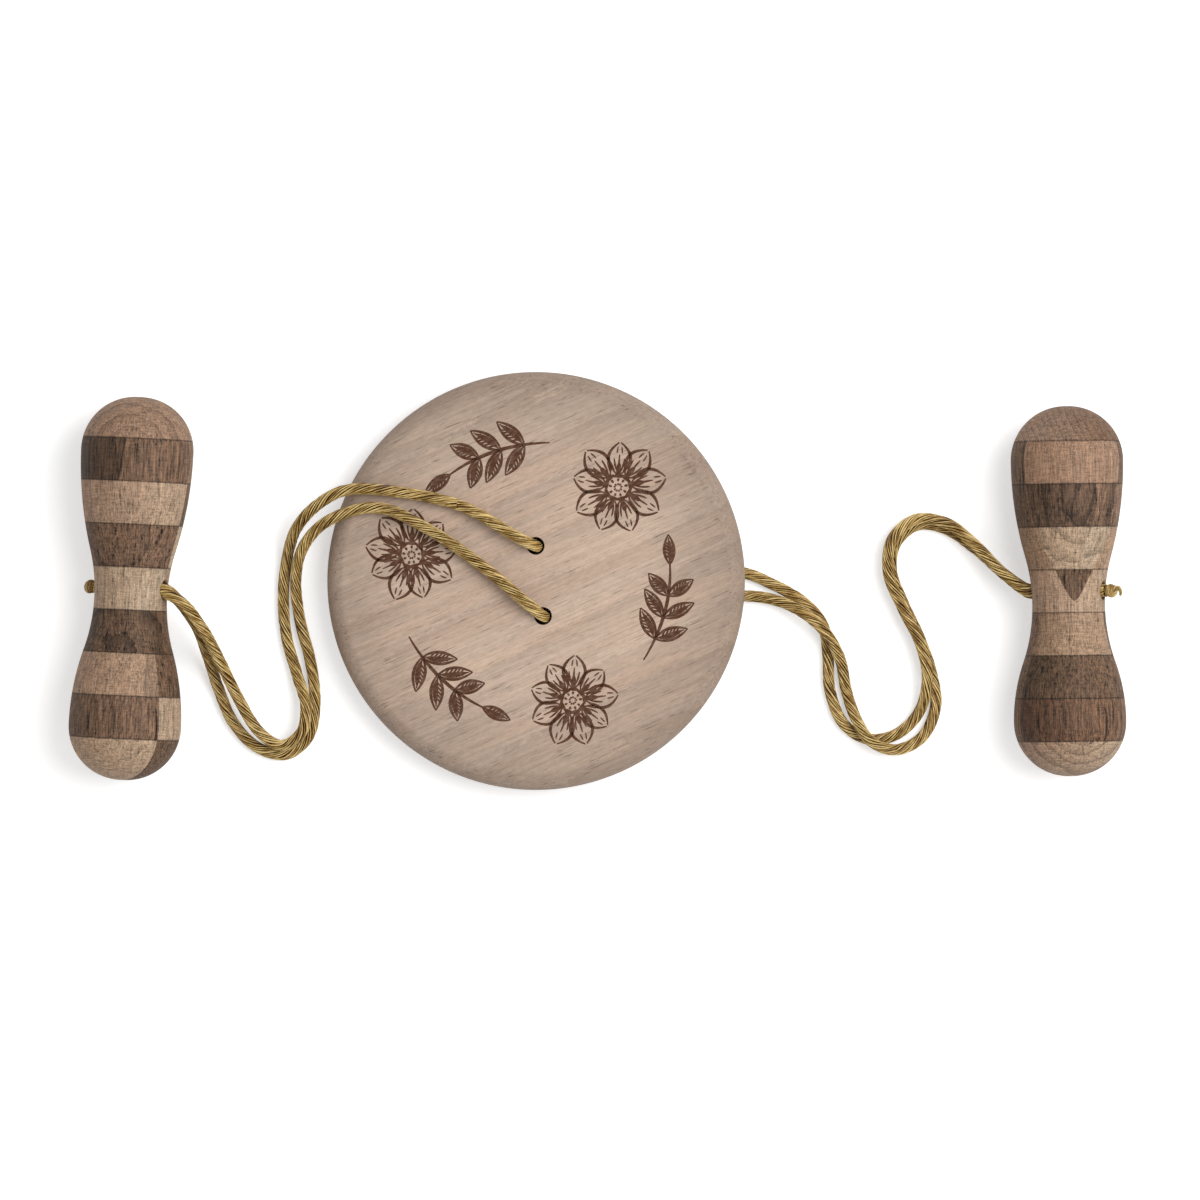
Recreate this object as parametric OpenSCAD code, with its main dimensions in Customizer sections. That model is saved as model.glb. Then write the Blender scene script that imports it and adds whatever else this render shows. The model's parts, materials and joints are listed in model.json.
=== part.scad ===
// Buzz spinner: a wooden disc on two cords, between two turned handles of glued blocks.
// It lies on a table as it was put down: +Z is up, +X points to the right handle, and
// the table is at z = 0. The origin is under the middle of the disc and the handles.

/* [Disc] */
// Diameter of the disc
disc_d = 95; // [70:1:120]
// Thickness of the disc
disc_t = 11; // [8:0.5:16]
// Radius of the rounding on both rims of the disc
disc_edge_r = 4; // [1:0.1:6]
// Middle of the disc, along the line between the handles
disc_x = -14; // [-20:0.5:0]
// Distance between the two cord holes
hole_pitch = 16; // [12:0.5:24]
// Diameter of the two cord holes
hole_d = 3.8; // [3.2:0.1:6]
// Turn of the pair of holes about the axis of the disc
hole_turn = 6; // [-15:1:15]
// How far the pair of holes is drilled off the middle of the disc
hole_shift = 1.2; // [0:0.1:2]

/* [Handles] */
// Length of the left handle
left_len = 87; // [76:1:110]
// Length of the right handle
right_len = 84; // [76:1:110]
// Widest diameter of a handle, at its two bulbs
grip_d = 25.5; // [22:0.5:32]
// Diameter of a handle at its waist
waist_d = 16.5; // [12:0.5:20]
// Radius of the hollow curve at the waist
waist_curve_r = 40; // [25:1:60]
// How far the left handle's waist lies off its middle, towards its bottom end
left_waist_low = 2; // [0:0.5:6]
// How far the right handle's waist lies off its middle, towards its bottom end
right_waist_low = 3; // [0:0.5:6]
// Rounding of the left handle's ends
left_end_r = 12.2; // [6:0.2:14]
// Rounding of the right handle's ends
right_end_r = 12.4; // [6:0.2:14]
// Length of the middle block of a handle, which its bore crosses
block_len = 9.7; // [8:0.1:10]
// Length of the two end blocks of the left handle
left_end_block = 9.55; // [6:0.05:12]
// Length of the two end blocks of the right handle
right_end_block = 8.05; // [6:0.05:12]
// Half the distance over both handles, at their outermost points
reach = 120; // [114:0.5:140]
// Middle of the left handle, in front of (below 0) or behind the disc's middle
left_y = -1.7; // [-10:0.1:10]
// Middle of the right handle, in front of (below 0) or behind the disc's middle
right_y = -2.3; // [-10:0.1:10]
// Turn of the left handle's long seam about its axis, from straight right
left_seam_turn = -45; // [-90:1:90]
// Distance of the left handle's upper seam from its axis, at mid length
left_upper_off = 3.2; // [-6:0.1:6]
// Slant of the left handle's upper seam, as its rise over its length
left_upper_slant = -0.104; // [-0.2:0.001:0.2]
// Distance of the left handle's lower seam from its axis
left_lower_off = -1.1; // [-6:0.1:6]
// Turn of the right handle's long seam about its axis, from straight right
right_seam_turn = 84; // [45:1:135]
// Distance of the right handle's upper seam from its axis, at mid length
right_upper_off = 8.15; // [4:0.05:8.2]
// Slant of the right handle's upper seam, as its rise over its length
right_upper_slant = 0.05; // [0:0.005:0.2]
// Distance of the right handle's lower seam from its axis
right_lower_off = 4; // [-6:0.1:6]
// How far the left handle lies turned on the table
left_turn = -2.6; // [-10:0.1:10]
// How far the right handle lies turned on the table
right_turn = 0.7; // [-10:0.1:10]
// Diameter of the cross bore of a handle
bore_d = 4.2; // [3.4:0.1:4.6]
// Roll of a handle about its length, which lifts the right end of its bore
bore_roll = 20; // [0:1:40]

/* [Cords] */
// Diameter of a cord
cord_d = 2.9; // [2:0.1:3]
// Diameter of a stopper knot
knot_d = 5; // [4.8:0.1:8]
// Length of a stopper knot along the bore
knot_len = 3.8; // [3:0.1:4.5]

/* [Clearances] */
// Room between the squeezed cords and the wall of the bore
bore_clear = 0.15; // [0.1:0.05:0.4]
// Room between the two squeezed cords in a bore
strand_gap = 0.1; // [0.05:0.05:0.3]
// Room between a knot and its handle
knot_gap = 0.2; // [0.1:0.05:0.5]
// How far the squeezed cords stand out of the bore before they swell
bore_lead = 0.6; // [0.3:0.1:1.5]
// Room between the disc and the cords that run under it
rest_gap = 0.13; // [0.05:0.01:0.5]

/* [Hidden] */
// Smoothness of the exact round shapes, and steps on each arc of an outline
$fn = 128;
arc_steps = 9;
// The least straight stretch that a rounding leaves on its wall, and the least radius of a bulb
rim_flat = 0.1;
bulb_least_r = 5;
tube_sides = 8;
blocks = 9;
pale_wood = "#b59c82";
dark_wood = "#6d5748";
disc_wood = "#bfa994";
cord_gold = "#a98f4c";

// The seam between the two rows of blocks of each handle: the angle of its normal round the
// handle, its distance from the handle's axis at mid length, and how it slants along it.
left_upper_seam = [left_seam_turn, left_upper_off, left_upper_slant];
left_lower_seam = [left_seam_turn, left_lower_off, 0];
right_upper_seam = [right_seam_turn, right_upper_off, right_upper_slant];
right_lower_seam = [right_seam_turn, right_lower_off, 0];
// The last block of each handle that its upper seam cuts
left_upper_blocks = 6;
right_upper_blocks = 5;

// Which blocks are dark, from the top end to the bottom end
left_front_dark = [0, 1, 0, 1, 0, 1, 0, 1, 0];
left_back_dark = [0, 1, 1, 0, 0, 1, 1, 0, 1];
right_front_dark = [0, 0, 1, 0, 1, 0, 1, 1, 0];
right_back_dark = [0, 1, 1, 0, 0, 1, 1, 1, 0];

// The disc stands on its left rim and leans on the cords under its right side, so its lean and
// the height of its middle follow from the cords
disc_r = disc_d / 2;
edge_r = min(disc_edge_r, disc_t / 2 - rim_flat);
disc_tilt = asin((cord_d + rest_gap) / (disc_r - edge_r));
disc_z = edge_r + (disc_r - edge_r) * sin(disc_tilt) + (disc_t / 2 - edge_r) * cos(disc_tilt);
disc_normal = [-sin(disc_tilt), 0, cos(disc_tilt)];
// A size that is larger than any handle, for cutting blocks out of one
beyond = 2 * max(left_len, right_len);
waist_r = waist_d / 2;
grip_r = grip_d / 2;
axis_z = grip_r;

// Half the width over a handle that lies turned by an angle: its end roundings reach furthest
function end_round(end_r) = min(end_r, grip_r - rim_flat);
function half_width(len, end_r, turn) =
    let (r = end_round(end_r))
    (grip_r - r) * cos(turn) + (len / 2 - r) * sin(abs(turn)) + r;
left_pos = [half_width(left_len, left_end_r, left_turn) - reach, left_y, axis_z];
right_pos = [reach - half_width(right_len, right_end_r, right_turn), right_y, axis_z];

// The two arcs between waist and bulb, which are tangent: both radii together, and the hollow one
function both_round(bulb_z) =
    let (rise = grip_r - waist_r) (rise ^ 2 + bulb_z ^ 2) / (2 * rise);
function hollow_round(bulb_z) = min(waist_curve_r, both_round(bulb_z) - bulb_least_r);
// Radius of a handle at its middle, where its bore comes out beside the waist
function middle_r(length, end_r, waist_low) =
    let (r = hollow_round(length / 2 + waist_low - end_round(end_r)))
    waist_r + r - sqrt(r ^ 2 - waist_low ^ 2);
left_bore_r = middle_r(left_len, left_end_r, left_waist_low);
right_bore_r = middle_r(right_len, right_end_r, right_waist_low);
left_bore_end = left_bore_r + bore_lead;
right_bore_end = right_bore_r + bore_lead;
left_knot_seat = left_bore_r + knot_gap;
right_knot_seat = right_bore_r + knot_gap;

// Places of the two holes in the disc's own plane, a above and b below in plan
function hole_place(side) =
    [hole_shift + side * hole_pitch / 2 * -sin(hole_turn), side * hole_pitch / 2 * cos(hole_turn)];
// A point of the disc's own frame, in the frame of the part
function on_disc(x, y, z) =
    [disc_x + x * cos(disc_tilt) - z * sin(disc_tilt), y, disc_z + x * sin(disc_tilt) + z * cos(disc_tilt)];
function hole_end(side, face) =
    let (p = hole_place(side)) on_disc(p[0], p[1], face * disc_t / 2);

// Direction of a handle's bore, and of the way across both cords in it
function bore_dir(turn) =
    [cos(bore_roll) * cos(turn), cos(bore_roll) * sin(turn), sin(bore_roll)];
function bore_across(turn) =
    [-sin(bore_roll) * cos(turn), -sin(bore_roll) * sin(turn), cos(bore_roll)];
// Where a free strand leaves a handle, at a place along its bore
function bore_mouth(pos, turn, along, side) =
    pos + along * bore_dir(turn) + side * (cord_d + strand_gap) / 2 * bore_across(turn);

// Routes of the free strands, from the disc to the handle, as they lie. The left ones begin with
// points in the disc's own frame, whose heights are over its top face.
left_over_disc_a = [
    [-2.9, 9.5, 3], [-16.5, 17, 2.1], [-33.6, 20.5, 2], [-43.1, 20.5, 1.7]];
left_over_disc_b = [
    [-0.9, -5.5, 3], [-10.5, 2.5, 2.3], [-23.5, 11.5, 2.1], [-34.6, 16.5, 2], [-42.6, 15.5, 1.7]];
function over_disc(points) = [for (p = points) on_disc(p[0], p[1], disc_t / 2 + p[2])];
left_route_a = concat(over_disc(left_over_disc_a), [
    [-64, 17, 10.2], [-68.5, 12, 6.8], [-70.7, 5.6, 2.7], [-71.7, -3, 1.5], [-71, -12.5, 1.5],
    [-68.5, -21.5, 2.2], [-66.5, -28.5, 4], [-67.5, -34.5, 4.3], [-72, -37.5, 4.4],
    [-77, -34.5, 4.4], [-82, -26.5, 4.6], [-86, -18, 7.6], [-89.5, -11, 13.2], [-93.5, -5.5, 17.3]]);
left_route_b = concat(over_disc(left_over_disc_b), [
    [-63.5, 12, 10.8], [-67.5, 6.5, 7.2], [-68.8, -0.5, 3.3], [-67.9, -9, 1.5], [-65.5, -18.5, 1.5],
    [-64.5, -28, 1.5], [-66, -35.5, 1.5], [-71, -39.5, 1.5], [-77.5, -38, 1.5], [-83, -32.5, 1.5],
    [-86.5, -24.5, 1.7], [-88.8, -17, 5], [-91.5, -9.5, 11.2]]);
right_route_a = [
    [-9, 7, 1.6], [33, 2, 1.5], [40.1, -0.8, 1.5], [47.1, -4.9, 1.5], [51.4, -10, 1.5],
    [52.6, -17, 1.5], [53, -24.5, 1.5], [55.9, -32.2, 1.5], [61.4, -36, 1.5], [68, -35.1, 1.5],
    [73.3, -30, 2.2], [75.2, -22, 4.5], [73.5, -14, 4.6], [69.5, -6, 4.6], [66.3, 2, 4.6],
    [67.2, 9.5, 4.6], [72.5, 14, 4.6], [79.5, 13.2, 4.6], [86, 8.2, 5.6], [92.5, 1.5, 8.8]];
right_route_b = [
    [-7.5, -8, 1.6], [33, -3.4, 1.5], [39.9, -4.2, 2.3], [46.4, -6.9, 4.6], [51.6, -11.3, 4.9],
    [55.2, -17.5, 3.7], [56.8, -25, 1.5], [58.9, -31.3, 3.6], [62.1, -36.3, 4.9], [68, -38.5, 2.9],
    [74.1, -35.6, 1.5], [77.2, -28.5, 1.5], [76.1, -20.5, 1.5], [73.5, -13, 1.5], [70, -5.5, 1.5],
    [67.2, 2, 1.5], [68, 8.5, 1.5], [73, 12.8, 1.5], [79.3, 12, 1.5], [86, 7.5, 2.7], [92.8, 1.5, 5.7]];

// Points on an arc, as pairs of radius and height
function arc(centre, r, from, to) =
    [for (i = [0:arc_steps]) let (a = from + (to - from) * i / arc_steps)
        centre + r * [cos(a), sin(a)]];

// Half the outline of the disc, for turning
disc_outline = concat(
    [[0, -disc_t / 2]],
    arc([disc_r - edge_r, edge_r - disc_t / 2], edge_r, -90, 0),
    arc([disc_r - edge_r, disc_t / 2 - edge_r], edge_r, 0, 90),
    [[0, disc_t / 2]]);

// One end of a handle's outline, from its waist at height 0 to its end at a length: hollow waist,
// bulb and rounded end, each tangent to the next
function grip_half(length, end_r) =
    let (r = end_round(end_r),
         bulb_z = length - r,
         both_r = both_round(bulb_z),
         hollow_r = hollow_round(bulb_z),
         bulb_r = both_r - hollow_r,
         meet = asin(bulb_z / both_r))
    concat(
        arc([waist_r + hollow_r, 0], hollow_r, 180, 180 - meet),
        arc([grip_r - bulb_r, bulb_z], bulb_r, -meet, 0),
        arc([grip_r - r, bulb_z], r, 0, 90),
        [[0, length]]);
// Without the points that neighbouring arcs share
function single(points) =
    [for (i = [0:len(points) - 1])
        if (i == 0 || norm(points[i] - points[i - 1]) > 0.001) points[i]];
// The whole outline, about the middle of the handle
function grip_outline(length, end_r, waist_low) =
    let (top = single(grip_half(length / 2 + waist_low, end_r)),
         bottom = single(grip_half(length / 2 - waist_low, end_r)))
    concat([for (i = [len(top) - 1:-1:1]) [top[i][0], waist_low - top[i][1]]],
           [for (p = bottom) [p[0], waist_low + p[1]]]);

// Tube of cord_d along points, whose end faces are square to the two given directions
function unit(v) = v / norm(v);
function way(points, i, start_dir, end_dir) =
    i == 0 ? start_dir
    : i == len(points) - 1 ? end_dir
    : unit(unit(points[i + 1] - points[i]) + unit(points[i] - points[i - 1]));
function square_to(side, t) = unit(side - (side * t) * t);
function sides_along(ways, i = 0, side = [0, 1, 0]) =
    i == len(ways) ? []
    : let (s = square_to(side, ways[i])) concat([s], sides_along(ways, i + 1, s));
module tube(points, start_dir, end_dir) {
    last = len(points) - 1;
    ways = [for (i = [0:last]) way(points, i, start_dir, end_dir)];
    sides = sides_along(ways);
    rings = [for (i = [0:last]) for (j = [0:tube_sides - 1])
        let (a = (j + 0.5) * 360 / tube_sides)
        points[i] + cord_d / 2 * (cos(a) * sides[i] + sin(a) * cross(ways[i], sides[i]))];
    walls = [for (i = [0:last - 1]) for (j = [0:tube_sides - 1])
        let (k = (j + 1) % tube_sides, p = i * tube_sides, q = p + tube_sides)
        each [[p + j, q + j, q + k], [p + j, q + k, p + k]]];
    caps = [[for (j = [0:tube_sides - 1]) j],
            [for (j = [tube_sides - 1:-1:0]) last * tube_sides + j]];
    polyhedron(rings, concat(walls, caps));
}

module at_disc() {
    translate([disc_x, 0, disc_z]) rotate([0, -disc_tilt, 0]) children();
}

// A handle's own frame: x to the right, y up and z along it, towards its bottom end
module at_handle(pos, turn) {
    translate(pos) rotate([0, 0, turn]) rotate([90, 0, 0]) children();
}

// The frame of a handle's bore: z along it, to the right, and y up across it
module at_bore(pos, turn) {
    at_handle(pos, turn) rotate([0, 0, bore_roll]) rotate([0, 90, 0]) children();
}

module hole_at(side) {
    translate(concat(hole_place(side), 0)) children();
}

module disc() {
    color(disc_wood) at_disc() difference() {
        rotate_extrude() polygon(disc_outline);
        for (side = [1, -1]) hole_at(side) cylinder(h = 2 * disc_t, d = hole_d, center = true);
    }
}

module disc_strand(side) {
    color(cord_gold) at_disc() hole_at(side) cylinder(h = disc_t, d = cord_d, center = true);
}

module left_strand(side, route) {
    mouth = bore_mouth(left_pos, left_turn, left_bore_end, side);
    color(cord_gold) tube(
        concat([hole_end(side, 1)], route, [mouth]), disc_normal, -bore_dir(left_turn));
}

module right_strand(side, route) {
    mouth = bore_mouth(right_pos, right_turn, -right_bore_end, side);
    color(cord_gold) tube(
        concat([hole_end(side, -1)], route, [mouth]), -disc_normal, bore_dir(right_turn));
}

// One of the two cords that share a bore, squeezed to half its round
module bore_strand(pos, turn, from, to, side) {
    squeezed_d = bore_d - 2 * bore_clear;
    color(cord_gold) at_bore(pos, turn) intersection() {
        translate([0, 0, from]) cylinder(h = to - from, d = squeezed_d);
        translate([0, side * (squeezed_d + strand_gap) / 2, (from + to) / 2])
            cube([squeezed_d, squeezed_d, to - from], center = true);
    }
}

// Stopper knot: a round ball, cut flat where it seats and where the cord ends are cut off
module knot(pos, turn, middle) {
    color(cord_gold) at_bore(pos, turn) translate([0, 0, middle])
        intersection() {
            sphere(d = knot_d);
            cube([knot_d, knot_d, knot_len], center = true);
        }
}

// Everything on the far side of a seam
module beyond_seam(seam) {
    rotate([0, 0, seam[0]]) translate([seam[1], 0, 0]) rotate([0, atan(seam[2]), 0])
        translate([beyond / 2, 0, 0]) cube(beyond, center = true);
}

// Place of the glue joint below a block, from the middle of the handle: the blocks between the middle
// one and the end ones share evenly what those leave of the length
function joint_z(i, length, end_block) =
    let (shared = (length - 2 * end_block - block_len) / (blocks - 3),
         from_middle = i - blocks / 2)
    sign(from_middle) * (block_len / 2 + (abs(from_middle) - 0.5) * shared);

// One slice of a handle, number 1 at its top end
module slice(i, length, end_block) {
    from = i == 1 ? -beyond / 2 : joint_z(i - 1, length, end_block);
    to = i == blocks ? beyond / 2 : joint_z(i, length, end_block);
    translate([-beyond / 2, -beyond / 2, from]) cube([beyond, beyond, to - from]);
}

module grip_slice(i, length, end_r, end_block, waist_low) {
    difference() {
        intersection() {
            rotate_extrude() polygon(grip_outline(length, end_r, waist_low));
            slice(i, length, end_block);
        }
        rotate([0, 0, bore_roll]) rotate([0, 90, 0])
            cylinder(h = 2 * grip_d, d = bore_d, center = true);
    }
}

function wood(dark) = dark == 1 ? dark_wood : pale_wood;

function left_seam(i) = i <= left_upper_blocks ? left_upper_seam : left_lower_seam;

module left_front_block(i) {
    color(wood(left_front_dark[i - 1])) at_handle(left_pos, left_turn) difference() {
        grip_slice(i, left_len, left_end_r, left_end_block, left_waist_low);
        beyond_seam(left_seam(i));
    }
}

module left_back_block(i) {
    color(wood(left_back_dark[i - 1])) at_handle(left_pos, left_turn) intersection() {
        grip_slice(i, left_len, left_end_r, left_end_block, left_waist_low);
        beyond_seam(left_seam(i));
    }
}

function right_seam(i) = i <= right_upper_blocks ? right_upper_seam : right_lower_seam;

module right_front_block(i) {
    color(wood(right_front_dark[i - 1])) at_handle(right_pos, right_turn) intersection() {
        grip_slice(i, right_len, right_end_r, right_end_block, right_waist_low);
        beyond_seam(right_seam(i));
    }
}

module right_back_block(i) {
    color(wood(right_back_dark[i - 1])) at_handle(right_pos, right_turn) difference() {
        grip_slice(i, right_len, right_end_r, right_end_block, right_waist_low);
        beyond_seam(right_seam(i));
    }
}

disc();
disc_strand(1);  // disc_strand_a
disc_strand(-1);  // disc_strand_b
left_strand(1, left_route_a);  // left_strand_a
left_strand(-1, left_route_b);  // left_strand_b
right_strand(1, right_route_a);  // right_strand_a
right_strand(-1, right_route_b);  // right_strand_b
bore_strand(left_pos, left_turn, -left_knot_seat, left_bore_end, 1);  // left_bore_strand_a
bore_strand(left_pos, left_turn, -left_knot_seat, left_bore_end, -1);  // left_bore_strand_b
bore_strand(right_pos, right_turn, -right_bore_end, right_knot_seat, 1);  // right_bore_strand_a
bore_strand(right_pos, right_turn, -right_bore_end, right_knot_seat, -1);  // right_bore_strand_b
knot(left_pos, left_turn, -left_knot_seat - knot_len / 2);  // left_knot
knot(right_pos, right_turn, right_knot_seat + knot_len / 2);  // right_knot
for (i = [1:blocks]) {
    left_front_block(i);
    left_back_block(i);
    right_front_block(i);
    right_back_block(i);
}
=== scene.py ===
"""Dresses a wooden buzz spinner: turned handles of glued blocks, a disc with burnt sprigs, twisted cords."""

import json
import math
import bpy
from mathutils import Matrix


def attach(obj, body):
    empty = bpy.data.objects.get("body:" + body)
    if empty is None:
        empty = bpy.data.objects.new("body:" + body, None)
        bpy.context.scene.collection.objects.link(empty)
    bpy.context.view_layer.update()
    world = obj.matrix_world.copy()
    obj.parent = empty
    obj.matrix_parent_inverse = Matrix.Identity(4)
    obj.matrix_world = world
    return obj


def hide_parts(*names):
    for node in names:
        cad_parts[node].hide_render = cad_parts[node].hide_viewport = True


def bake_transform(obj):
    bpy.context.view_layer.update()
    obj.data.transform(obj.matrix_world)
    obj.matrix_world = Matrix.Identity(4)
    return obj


bl_info = {
    "name": "Buzz Spinner",
    "version": (1, 0, 0),
    "blender": (4, 5, 0),
    "location": "View3D > Sidebar > Buzz Spinner",
    "description": "Builds the finished pieces of a wooden buzz spinner over its solid frame",
    "category": "Object",
}

import bmesh
import bpy
from bpy.props import FloatProperty, FloatVectorProperty, IntProperty, PointerProperty
from bpy.types import Operator, Panel, PropertyGroup
from mathutils import Matrix, Vector, noise

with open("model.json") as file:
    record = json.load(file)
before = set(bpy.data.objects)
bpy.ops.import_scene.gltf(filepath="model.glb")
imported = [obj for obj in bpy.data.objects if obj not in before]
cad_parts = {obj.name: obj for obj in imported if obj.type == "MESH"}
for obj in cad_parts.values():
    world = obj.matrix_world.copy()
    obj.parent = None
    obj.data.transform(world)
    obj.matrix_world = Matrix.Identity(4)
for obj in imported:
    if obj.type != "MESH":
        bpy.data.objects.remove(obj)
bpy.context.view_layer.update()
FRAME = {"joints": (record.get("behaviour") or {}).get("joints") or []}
JOINTS = {joint["name"]: joint for joint in FRAME["joints"]}
MM = 0.001
SIDES = ("left", "right")
STRANDS = ("a", "b")


def srgb(code):
    """A colour written as six hexadecimal digits, as the linear values that Blender's colours hold."""
    parts = [int(code[i:i + 2], 16) / 255 for i in (0, 2, 4)]
    return tuple(p / 12.92 if p <= 0.04045 else ((p + 0.055) / 1.055) ** 2.4 for p in parts)


# Tones of the woods, from pale to dark. Blocks whose tones are darker than the limit are of dark wood.
TONES = {name: srgb(code) for name, code in {
    "straw": "b9a48b", "oat": "b09c85", "sand": "af967e", "tan": "a68970", "rose": "997b65",
    "dove": "957c6a", "cedar": "91725c", "bark": "896e57", "chestnut": "7c614e", "russet": "785b46",
    "umber": "6e5542", "walnut": "5d4838", "cocoa": "583f31", "peat": "524031"}.items()}
DARK_LIMIT = 0.225
# How strong the streaks and pores of both woods are, and how much they shine
BLOCK_WOODS = {"dark": (1.3, 0.24, 0.22), "pale": (0.7, 0.1, 0.25)}

# How each block looks, from the top end of its handle to the bottom end: its tones at its left and
# right, a slanted edge (millimetres from the middle, slant, and how much darker the wood is at its
# left, or at its right if negative), and its growth rings (their middle in millimetres across and
# along, how dark they are, the distance between them, and how flat they are if not round).
PLAIN = (-30, 0, 0)
BLOCK_LOOKS = {
    "left_front": (
        ("rose", "rose", PLAIN, (-1, -31, 0.42, 2.9)),
        ("umber", "chestnut", (-2.8, -0.1, 0.46), (60, -29, 0.3, 1.2)),
        ("rose", "sand", PLAIN, (-60, -19, 0.08, 1.7)),
        ("umber", "chestnut", PLAIN, (-4.6, -12, 0.5, 9.3)),
        ("tan", "oat", PLAIN, (-45, 30, 0.12, 2.2)),
        ("walnut", "umber", PLAIN, (-0.8, 14.9, 0.7, 5.2, 0.66)),
        ("rose", "tan", (5.0, 0, -0.26), (80, 19, 0.08, 1.7)),
        ("umber", "chestnut", (-6.5, -0.1, 0.1), (50, 60, 0.26, 1.2)),
        ("tan", "sand", PLAIN, (-30, 20, 0.14, 2.4)),
    ),
    "left_back": (
        ("dove", "sand", PLAIN, (40, -30, 0.1, 1.7)),
        ("chestnut", "bark", PLAIN, (40, -29, 0.1, 1.7)),
        ("umber", "umber", PLAIN, (40, -19, 0.1, 1.7)),
        ("sand", "straw", PLAIN, (40, -9, 0.06, 1.7)),
        ("sand", "tan", PLAIN, (40, 0, 0.08, 1.7)),
        ("umber", "umber", PLAIN, (40, 10, 0.1, 1.7)),
        ("umber", "umber", PLAIN, (40, 19, 0.1, 1.7)),
        ("tan", "sand", PLAIN, (40, 29, 0.06, 1.7)),
        ("walnut", "umber", PLAIN, (40, 36, 0.3, 1.5)),
    ),
    "right_front": (
        ("dove", "russet", PLAIN, (50, -60, 0.36, 1.4)),
        ("cedar", "rose", PLAIN, (-60, -29, 0.08, 1.7)),
        ("walnut", "chestnut", (5.4, -0.1, 0.2), (1.7, -24.4, 0.66, 4.4, 0.46)),
        ("tan", "oat", PLAIN, (0.5, -15.5, 0.4, 4.6)),
        ("walnut", "umber", PLAIN, (40, 0, 0.1, 1.5)),
        ("bark", "tan", (-8.4, 0, 0.1), (-20, 70, 0.14, 2.2)),
        ("peat", "umber", (-1.6, 0.1, 0.08), (60, 19, 0.12, 1.4)),
        ("cocoa", "russet", (-3.4, 0.12, 0.1), (-60, 60, 0.24, 1.3)),
        ("rose", "sand", PLAIN, (2, 29, 0.46, 2.1)),
    ),
    "right_back": (
        ("rose", "russet", PLAIN, (50, -60, 0.34, 1.4)),
        ("umber", "umber", PLAIN, (40, -29, 0.1, 1.7)),
        ("walnut", "chestnut", PLAIN, (40, -19, 0.1, 1.7)),
        ("bark", "tan", PLAIN, (40, -9, 0.06, 1.7)),
        ("rose", "sand", PLAIN, (-70, 0, 0.08, 1.7)),
        ("chestnut", "umber", PLAIN, (40, 10, 0.1, 1.7)),
        ("umber", "chestnut", PLAIN, (40, 19, 0.1, 1.7)),
        ("umber", "chestnut", PLAIN, (40, 29, 0.1, 1.7)),
        ("rose", "sand", PLAIN, (2, 29, 0.46, 2.1)),
    ),
}
# The long seam of each handle: the last block of its upper part, and for its upper and its lower part
# the turn in degrees, the distance off the axis in millimetres and the slant
SEAMS = {
    "left": (6, (-45, 3.2, -0.104), (-45, -1.1, 0.0)),
    "right": (5, (84, 8.15, 0.05), (84, 4.0, 0.0)),
}

# Routes of the strands, in millimetres. The left ones begin over the disc, in its own frame, with heights
# over its top face. All run from the disc to the handle.
OVER_DISC = {
    "a": ((-2.9, 9.5, 3), (-16.5, 17, 2.1), (-33.6, 20.5, 2), (-43.1, 20.5, 1.7)),
    "b": ((-0.9, -5.5, 3), (-10.5, 2.5, 2.3), (-23.5, 11.5, 2.1), (-34.6, 16.5, 2), (-42.6, 15.5, 1.7)),
}
ROUTES = {
    "left_a": (
        (-64, 17, 10.2), (-68.5, 12, 6.8), (-70.7, 5.6, 2.7), (-71.7, -3, 1.5), (-71, -12.5, 1.5),
        (-68.5, -21.5, 2.2), (-66.5, -28.5, 4), (-67.5, -34.5, 4.3), (-72, -37.5, 4.4), (-77, -34.5, 4.4),
        (-82, -26.5, 4.6), (-86, -18, 7.6), (-89.5, -11, 13.2), (-93.5, -5.5, 17.3)),
    "left_b": (
        (-63.5, 12, 10.8), (-67.5, 6.5, 7.2), (-68.8, -0.5, 3.3), (-67.9, -9, 1.5), (-65.5, -18.5, 1.5),
        (-64.5, -28, 1.5), (-66, -35.5, 1.5), (-71, -39.5, 1.5), (-77.5, -38, 1.5), (-83, -32.5, 1.5),
        (-86.5, -24.5, 1.7), (-88.8, -17, 5), (-91.5, -9.5, 11.2)),
    "right_a": (
        (-9, 7, 1.6), (33, 2, 1.5), (40.1, -0.8, 1.5), (47.1, -4.9, 1.5), (51.4, -10, 1.5),
        (52.6, -17, 1.5), (53, -24.5, 1.5), (55.9, -32.2, 1.5), (61.4, -36, 1.5), (68, -35.1, 1.5),
        (73.3, -30, 2.2), (75.2, -22, 4.5), (73.5, -14, 4.6), (69.5, -6, 4.6), (66.3, 2, 4.6),
        (67.2, 9.5, 4.6), (72.5, 14, 4.6), (79.5, 13.2, 4.6), (86, 8.2, 5.6), (92.5, 1.5, 8.8)),
    "right_b": (
        (-7.5, -8, 1.6), (33, -3.4, 1.5), (39.9, -4.2, 2.3), (46.4, -6.9, 4.6), (51.6, -11.3, 4.9),
        (55.2, -17.5, 3.7), (56.8, -25, 1.5), (58.9, -31.3, 3.6), (62.1, -36.3, 4.9), (68, -38.5, 2.9),
        (74.1, -35.6, 1.5), (77.2, -28.5, 1.5), (76.1, -20.5, 1.5), (73.5, -13, 1.5), (70, -5.5, 1.5),
        (67.2, 2, 1.5), (68, 8.5, 1.5), (73, 12.8, 1.5), (79.3, 12, 1.5), (86, 7.5, 2.7),
        (92.8, 1.5, 5.7)),
}
# Ends of the cords beyond the knots, in millimetres: level, up and out from the outer face of the knot
TAILS = {
    "left": ((0.3, -0.6, -0.6), (0.6, -1.3, -0.9)),
    "right": ((0.5, 0.4, -0.2), (0.6, 0.4, 0.3), (0.1, 0.3, 0.7), (-0.6, 0.1, 0.8), (-1.1, -0.1, 0.6)),
}
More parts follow.
